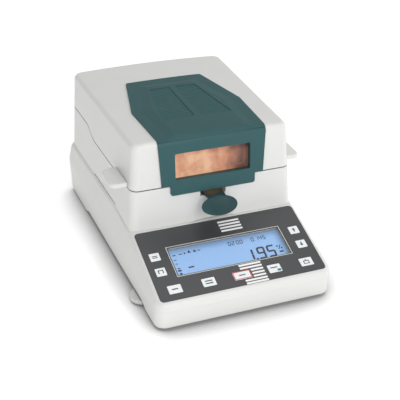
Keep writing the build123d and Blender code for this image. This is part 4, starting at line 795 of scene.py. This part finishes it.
@dataclass
class ControlPanel:
    """Keypad film, display and keys with their printed marks. Sizes are in mm on the panel."""

    shop: Workshop
    plane: PanelPlane = field(default_factory=PanelPlane)
    display_width: float = 140.7
    display_height: float = 43.3
    display_v: float = 1.2
    border_gap: float = 0.8
    border_line: float = 0.7
    lcd_lift: float = -3.25
    key_lift: float = 0.3
    ink: float = 0.05
    key_side_x: float = 87.2
    key_upper_v: float = 12.6
    key_lower_v: float = -10.0
    key_row_v: float = -37.0
    key_row_x: float = 0.8
    key_row_pitch: float = 40.2
    rung_x: float = 15.0
    rung_width: float = 27.0
    rung_height: float = 2.6
    rungs_v: tuple[float, ...] = (45.8, 41.1, 36.4, 31.7, -23.6, -28.0, -46.0, -50.0)
    short_rung_x: float = 20.9
    short_rung_width: float = 15.2
    short_rungs_v: tuple[float, ...] = (-32.5, -37.0, -41.5)
    red_frame_width: float = 20.9
    red_frame_height: float = 11.0
    red_frame_line: float = 0.9
    reading_v: float = -8.8
    figures_v: float = 13.2

    def build(self) -> None:
        """Dress the panel's nodes and add every printed mark."""
        self.shop.dress(FILM, "keypad_foil")
        self.shop.dress(WINDOW, "display_window")
        self.shop.dress(LCD, "lcd_glass")
        self.shop.dress(BLACK, "lcd_module", "key_switches")
        self.shop.dress(KEY_WHITE, *self.key_spots())
        self.build_border()
        self.build_bars()
        self.build_reading()
        self.build_marks()
        self.build_key_signs()

    def key_spots(self) -> dict[str, tuple[float, float]]:
        """Find the middle of each key cap on the panel.

        Returns:
            Pairs of x and v, by the key's node.
        """
        spots = {
            "key_left_upper": (-self.key_side_x, self.key_upper_v),
            "key_left_lower": (-self.key_side_x, self.key_lower_v),
            "key_right_upper": (self.key_side_x, self.key_upper_v),
            "key_right_lower": (self.key_side_x, self.key_lower_v),
        }
        row = ("first", "second", "middle", "fourth", "last")
        for step, place in enumerate(row):
            x = self.key_row_x + (step - len(row) // 2) * self.key_row_pitch
            spots[f"key_row_{place}"] = (x, self.key_row_v)
        return spots

    def print_on(self, name: str, outlines: Iterable[Outline], finish: Finish, lift: float,
                 body: str = "base", slot: str = "panel_foil") -> None:
        """Print outlines on the film, the liquid crystal or a key.

        Args:
            name: the piece's name.
            outlines: closed outlines of (x, v) points.
            finish: the ink.
            lift: height of the printed face over the film.
            body: the body that the print moves with.
            slot: the record's material slot.
        """
        mesh = self.plane.prints(name, outlines, lift, lift + self.ink)
        self.shop.add_piece(name, mesh, finish, body, slot)

    def build_border(self) -> None:
        """Cream line printed round the display."""
        border = frame_bars(0.0, self.display_v, self.display_width + 2 * self.border_gap,
                            self.display_height + 2 * self.border_gap, self.border_line)
        self.print_on("display_border", border, INK_CREAM, 0.0)

    def build_bars(self) -> None:
        """Generic ladder of level white bars above and below the display."""
        rungs = [bar(self.rung_x, v, self.rung_width, self.rung_height) for v in self.rungs_v]
        rungs += [bar(self.short_rung_x, v, self.short_rung_width, self.rung_height)
                  for v in self.short_rungs_v]
        self.print_on("panel_bars", rungs, INK_WHITE, 0.0)

    def build_reading(self) -> None:
        """The main reading, 1.95, and its per cent sign."""
        large = SegmentDigits(height=15.6, line=2.45)
        middle = self.reading_v
        reading = [large.segment(25.9 + 0.3 * side, middle + 3.8 * side, False, 8.6)
                   for side in (1, -1)]
        reading += large.figure("9", 37.0, middle) + large.figure("5", 49.6, middle)
        point = bar(29.4, middle - 7.4, 2.2, 2.2)
        percent = [bar(61.2, middle + 3.3, 1.3, 6.0, 0.6), bar(58.9, middle + 5.1, 2.0, 2.2),
                   bar(63.5, middle + 1.5, 2.0, 2.2)]
        base_line = bar(61.2, middle - 3.6, 5.2, 2.4)
        self.print_on("display_reading", [*reading, point, *percent, base_line], LCD_DARK,
                      self.lcd_lift, slot="blue_display")

    def build_marks(self) -> None:
        """Small figures along the top of the display and marks down its left edge."""
        small = SegmentDigits(height=5.4, line=0.95)
        figures = [bar(36.9, 10.9, 0.8, 0.8)]
        for sign, x in zip("02000145", (5.0, 9.6, 15.2, 19.8, 34.0, 39.8, 44.4, 49.0)):
            figures += small.figure(sign, x, self.figures_v)
        dark = [bar(-50.0, -8.8, 6.8, 2.0), bar(-64.6, -7.6, 2.6, 1.6),
                bar(-64.6, -10.8, 4.4, 2.4), bar(-64.6, -15.6, 2.8, 2.8),
                bar(-63.8, 12.0, 3.4, 1.6), [(-47.6, 12.0), (-43.0, 12.0), (-45.3, 16.2)]]
        pale = [bar(-64.8, 5.2, 3.0, 1.2), bar(-64.8, -0.6, 3.0, 1.2),
                bar(-56.0, 12.4, 4.4, 1.4), bar(-51.0, 12.6, 2.0, 2.6),
                bar(-38.6, 13.2, 3.2, 3.2), bar(-33.4, 13.2, 3.4, 1.4)]
        for name, outlines, ink in (("display_small_figures", figures, LCD_FAINT),
                                    ("display_marks", dark, LCD_DARK),
                                    ("display_pale_marks", pale, LCD_FAINT)):
            self.print_on(name, outlines, ink, self.lcd_lift, slot="blue_display")

    def key_signs(self) -> dict[str, list[Outline]]:
        """Draw the keys' plain signs, each round the middle of its cap.

        Returns:
            The outlines, by the key's node.
        """
        arrow = [[(-2.4, 0.4), (2.4, 0.4), (0.0, 3.0)], bar(0.0, -1.2, 1.6, 3.2)]
        return {
            "key_left_upper": [bar(0.0, 1.0, 6.4, 1.1), bar(0.0, -1.2, 6.4, 1.1)],
            "key_left_lower": [bar(-2.6, 0.0, 1.2, 4.4), bar(2.6, 0.0, 1.2, 4.4),
                               bar(0.0, 2.2, 6.4, 1.2)],
            "key_right_upper": arrow,
            "key_right_lower": [[(x, -v) for x, v in outline] for outline in arrow],
            "key_row_first": [bar(0.0, 0.0, 7.0, 1.6)],
            "key_row_second": [bar(0.0, 1.7, 9.0, 1.5), bar(0.0, -1.7, 9.0, 1.5)],
            "key_row_middle": [bar(0.0, 0.0, 7.6, 1.4)],
            "key_row_fourth": [bar(-0.6, 1.2, 8.6, 1.5)],
            "key_row_last": [bar(0.0, 2.2, 1.2, 3.0), *frame_bars(0.0, -0.6, 7.2, 5.0, 1.0)],
        }

    def print_on_key(self, name: str, key: str, outlines: Iterable[Outline], finish: Finish,
                     slot: str = "key_white") -> None:
        """Print outlines on one key cap, to ride on it.

        Args:
            name: the piece's name.
            key: the key's node, which is its body too.
            outlines: closed outlines, measured from the cap's middle.
            finish: the ink.
            slot: the record's material slot.
        """
        x, v = self.key_spots()[key]
        placed = [shifted(outline, x, v) for outline in outlines]
        self.print_on(name, placed, finish, self.key_lift, body=key, slot=slot)

    def build_key_signs(self) -> None:
        """Plain signs on the key caps, the middle key's red frame and one key's flag."""
        for key, outlines in self.key_signs().items():
            self.print_on_key(f"{key}_sign", key, outlines, INK_DARK)
        red_frame = frame_bars(0.0, 0.0, self.red_frame_width, self.red_frame_height,
                               self.red_frame_line)
        self.print_on_key("key_row_middle_frame", "key_row_middle", red_frame, INK_RED,
                          slot="key_white_red_frame")
        self.print_on_key("key_row_fourth_flag", "key_row_fourth",
                          [bar(4.6, -3.2, 4.4, 3.0)], INK_TEAL)


@dataclass
class BaseShell:
    """Housing, tray, feet, sockets and what the base holds. Sizes are in mm."""

    shop: Workshop
    skirt_drop: float = 4.6
    skirt_edge_z: float = 10.9
    skirt_start_y: float = -128.0
    skirt_full_y: float = -142.0
    skirt_cuts: int = 6
    cut_merge_m: float = 1e-7

    def build(self) -> None:
        """Dress every node of the base and its feet."""
        dress = self.shop.dress
        dress(WHITE, "upper_housing", "lower_tray")
        self.build_tray()
        dress(FOOT_GREY, "foot_wheel_left", "foot_wheel_right", "foot_pad_left", "foot_pad_right")
        dress(BLACK, "power_inlet", "fuse_cap", "level_bezel")
        dress(RUBBER, "rear_feet", "hood_buffers")
        dress(ZINC, "connector_plate", "hinge_brackets", "hinge_pins", "shell_screws",
              "short_screws", "board_screws")
        dress(NICKEL, "serial_port", "inlet_pins")
        dress(NYLON, "hinge_washers")
        dress(ALUMINIUM, "load_cell", "load_cell_bracket")
        dress(CIRCUIT, "main_board", "power_supply", "display_board")
        dress(RIBBON, "ribbon_cable")
        dress(STAINLESS, "chamber_tray", "draft_shield", "pan_support")
        dress(VIAL, "level_vial")

    def build_tray(self) -> None:
        """The tray again, with the deeper skirt that it has along its front edge."""
        shape = bmesh.new()
        shape.from_mesh(self.shop.frame["nodes"]["lower_tray"].data)
        reach = self.skirt_start_y - self.skirt_full_y
        for cut in range(self.skirt_cuts + 1):
            bmesh.ops.bisect_plane(
                shape, geom=shape.verts[:] + shape.edges[:] + shape.faces[:],
                dist=self.cut_merge_m,
                plane_co=(0.0, (self.skirt_start_y - reach * cut / self.skirt_cuts) * MM, 0.0),
                plane_no=(0.0, 1.0, 0.0))
        # The lower edge goes down along an S-curve, from the skirt's start to its full drop.
        for vert in shape.verts:
            share = min(max((self.skirt_start_y - vert.co.y / MM) / reach, 0.0), 1.0)
            if vert.co.z < self.skirt_edge_z * MM:
                vert.co.z -= self.skirt_drop * MM * share * share * (3 - 2 * share)
        mesh = close_mesh("tray_with_front_skirt", shape)
        tray = self.shop.add_piece("tray_with_front_skirt", mesh, WHITE, "base", "white_abs")
        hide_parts("lower_tray")


@dataclass
class SampleGripper:
    """Ring, finger plate and the sample dish that they carry."""

    shop: Workshop

    def build(self) -> None:
        """Dress the gripper and its dish."""
        self.shop.dress(STAINLESS, "gripper_ring")
        self.shop.dress(TEAL_GRIP, "gripper_handle")
        self.shop.dress(ALUMINIUM, "sample_pan")


@dataclass
class HeatedHood:
    """White hood shell with its dark cover, window and heater. Sizes are in mm."""

    shop: Workshop
    lamp_z: float = 147.0
    lamp_y: tuple[float, float] = (-22.0, 38.0)
    filament_half: float = 58.0
    coil_radius: float = 1.5
    wire_radius: float = 0.35
    turns: int = 46
    turn_steps: int = 10

    def build(self) -> None:
        """Dress the hood's nodes and add the lamps' filaments."""
        dress = self.shop.dress
        dress(WHITE, "hood_shell", "side_grips")
        dress(TEAL, "hood_cover")
        dress(PAINTED_CHAMBER_GLOW, "viewing_window")
        dress(CLEAR, "protective_glass")
        dress(ZINC, "hood_frame", "hinge_arms", "hood_screws")
        dress(STAINLESS, "hood_liner", "temperature_probe")
        dress(REFLECTOR, "reflector")
        dress(QUARTZ, "halogen_lamps")
        dress(STEATITE, "lamp_sockets")
        for name, y in zip(("front", "rear"), self.lamp_y):
            self.build_filament(f"lamp_filament_{name}", y)

    def build_filament(self, name: str, y: float) -> None:
        """Coil one lamp's filament along its tube.

        Args:
            name: the piece's name.
            y: where the lamp stands along the depth.
        """
        line = bpy.data.curves.new(name, "CURVE")
        line.dimensions = "3D"
        line.bevel_depth = self.wire_radius * MM
        line.bevel_resolution = 1
        coil = line.splines.new("POLY")
        count = self.turns * self.turn_steps + 1
        coil.points.add(count - 1)
        for i in range(count):
            turn = 2 * math.pi * i / self.turn_steps
            x = self.filament_half * (2 * i / (count - 1) - 1)
            spot = Vector((x, y + self.coil_radius * math.cos(turn),
                           self.lamp_z + self.coil_radius * math.sin(turn))) * MM
            coil.points[i].co = (*spot, 1.0)
        holder = put_in_scene(bpy.data.objects.new(f"{name}_line", line))
        bpy.context.view_layer.update()
        mesh = bpy.data.meshes.new_from_object(
            holder.evaluated_get(bpy.context.evaluated_depsgraph_get()))
        bpy.data.objects.remove(holder)
        mesh.name = name
        mesh.materials.clear()
        self.shop.add_piece(name, mesh, FILAMENT, "hood", "quartz_tube")


@dataclass(frozen=True)
class Softbox:
    """A square softbox that faces the object: its place and side in metres, and its watts."""

    name: str
    place: tuple[float, float, float]
    side: float
    power: float

    def hang(self, aim: Vector) -> None:
        """Put the softbox in the scene.

        Args:
            aim: the place that it faces, in metres.
        """
        light = bpy.data.lights.new(self.name, "AREA")
        light.shape = "SQUARE"
        light.size = self.side
        light.energy = self.power
        lamp = put_in_scene(bpy.data.objects.new(self.name, light))
        lamp.location = self.place
        lamp.rotation_euler = (aim - Vector(self.place)).to_track_quat("-Z", "Y").to_euler()


@dataclass
class PhotoStudio:
    """Pale floor, soft lights and the camera at the photograph's angle.

    The camera's place is in mm and its angles in degrees. The other lengths are in metres.
    A span gives how open the floor is, from its darkest to its palest spot; near the object
    it is less open, and the floor's colour and glow are darkened there as a painted shadow.
    """

    camera_mm: tuple[float, float, float] = (-346.457, -932.876, 613.531)
    yaw: float = 20.989
    pitch: float = -29.362
    roll: float = 0.493
    focal_px: float = 899.094
    frame_px: float = 400.0
    sensor_mm: float = 36.0
    nearest: float = 0.01
    aim: tuple[float, float, float] = (0.0, 0.0, 0.08)
    floor_half: float = 6.0
    floor_glow: float = 0.42
    glow_in_shadow: float = 0.05
    glow_span: tuple[float, float] = (0.44, 0.94)
    paper_tones: tuple[float, float] = (0.36, 0.82)
    paper_span: tuple[float, float] = (0.4, 0.9)
    shadow_reach: float = 0.07
    painted_fill_from_x: float = -0.135
    painted_fill_to_x: float = -0.095
    painted_fill_share: float = 0.16
    world_strength: float = 0.5
    softboxes: tuple[Softbox, ...] = (
        Softbox("softbox_front", (0.0, -2.0, 1.15), 1.5, 23.5),
        Softbox("softbox_right", (1.8, 0.2, 0.9), 1.4, 8.0),
        Softbox("softbox_top", (0.1, 0.3, 2.0), 1.6, 7.0),
    )

    def build(self) -> None:
        """Set up floor, lights, world and camera."""
        self.build_floor()
        self.build_world()
        self.build_camera()
        for softbox in self.softboxes:
            softbox.hang(Vector(self.aim))

    def build_floor(self) -> None:
        """A wide pale floor under the feet, with a painted contact shadow near the object."""
        shape = bmesh.new()
        bmesh.ops.create_grid(shape, x_segments=4, y_segments=4, size=self.floor_half)
        mesh = close_mesh("studio_floor", shape)
        floor = put_in_scene(bpy.data.objects.new("studio_floor", mesh))
        material, tree, place = new_tree("studio_paper_white")
        fibre = add_node(tree, "ShaderNodeTexNoise", {"Vector": place, "Scale": per_mm(20.0)})
        # Painted contact shadow: occlusion darkens the floor's colour and glow near the object.
        painted_contact_shadow = add_node(tree, "ShaderNodeAmbientOcclusion",
                           {"Distance": self.shadow_reach}, samples=16)
        # The shadow is drawn fainter on the left, as it is in the photograph.
        apart = add_node(tree, "ShaderNodeSeparateXYZ", {"Vector": place})
        painted_left_fill = add_node(tree, "ShaderNodeMapRange",
                        {"Value": apart.outputs["X"], "From Min": self.painted_fill_from_x,
                         "From Max": self.painted_fill_to_x, "To Min": self.painted_fill_share, "To Max": 0.0})
        openness_with_painted_fill = add_node(tree, "ShaderNodeMath",
                          {0: painted_contact_shadow.outputs["AO"], 1: painted_left_fill.outputs[0]}, operation="ADD")
        shade = add_node(tree, "ShaderNodeMapRange",
                         {"Value": openness_with_painted_fill.outputs[0], "From Min": self.glow_span[0],
                          "From Max": self.glow_span[1], "To Min": self.glow_in_shadow,
                          "To Max": self.floor_glow})
        paper = add_node(tree, "ShaderNodeMapRange",
                         {"Value": openness_with_painted_fill.outputs[0], "From Min": self.paper_span[0],
                          "From Max": self.paper_span[1], "To Min": self.paper_tones[0],
                          "To Max": self.paper_tones[1]})
        rough = add_node(tree, "ShaderNodeMapRange",
                         {"Value": fibre.outputs["Fac"], "To Min": 0.8, "To Max": 0.95})
        shader = add_node(tree, "ShaderNodeBsdfPrincipled",
                          {"Base Color": paper.outputs[0], "Roughness": rough.outputs[0],
                           "Specular IOR Level": 0.1, "Emission Color": srgb("FFFFFF"),
                           "Emission Strength": shade.outputs[0]})
        close_tree(tree, shader)
        mesh.materials.append(material)

    def build_world(self) -> None:
        """Even white surroundings."""
        world = bpy.data.worlds.new("studio_white")
        world.use_nodes = True
        tree = world.node_tree
        tree.nodes.clear()
        shade = add_node(tree, "ShaderNodeBackground",
                         {"Color": srgb("FFFFFF"), "Strength": self.world_strength})
        add_node(tree, "ShaderNodeOutputWorld", {"Surface": shade.outputs[0]})
        bpy.context.scene.world = world

    def build_camera(self) -> None:
        """Stand the camera where the photograph was taken from."""
        yaw, pitch, roll = (math.radians(a) for a in (self.yaw, self.pitch, self.roll))
        forward = Vector((math.sin(yaw) * math.cos(pitch), math.cos(yaw) * math.cos(pitch),
                          math.sin(pitch)))
        right = Vector((math.cos(yaw), -math.sin(yaw), 0.0))
        up = right.cross(forward)
        right_rolled = right * math.cos(roll) + up * math.sin(roll)
        up_rolled = up * math.cos(roll) - right * math.sin(roll)
        lens = bpy.data.cameras.new("photo_camera")
        lens.sensor_width = self.sensor_mm
        lens.lens = self.focal_px * lens.sensor_width / self.frame_px
        lens.clip_start = self.nearest
        camera = put_in_scene(bpy.data.objects.new("photo_camera", lens))
        turn = Matrix((right_rolled, up_rolled, -forward)).transposed().to_4x4()
        camera.matrix_world = Matrix.Translation(Vector(self.camera_mm) * MM) @ turn
        bpy.context.scene.camera = camera


def main() -> None:
    """Build every sub-assembly in order."""
    logging.basicConfig(level=logging.INFO, format="%(name)s: %(message)s")
    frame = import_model()
    shop = Workshop(frame)
    for group in (BaseShell(shop), ControlPanel(shop), SampleGripper(shop), HeatedHood(shop),
                  PhotoStudio()):
        LOG.info("building %s", type(group).__name__)
        group.build()
    bpy.context.scene.view_settings.view_transform = "Standard"
    LOG.info("sizes written")


if __name__ == "__main__":
    main()
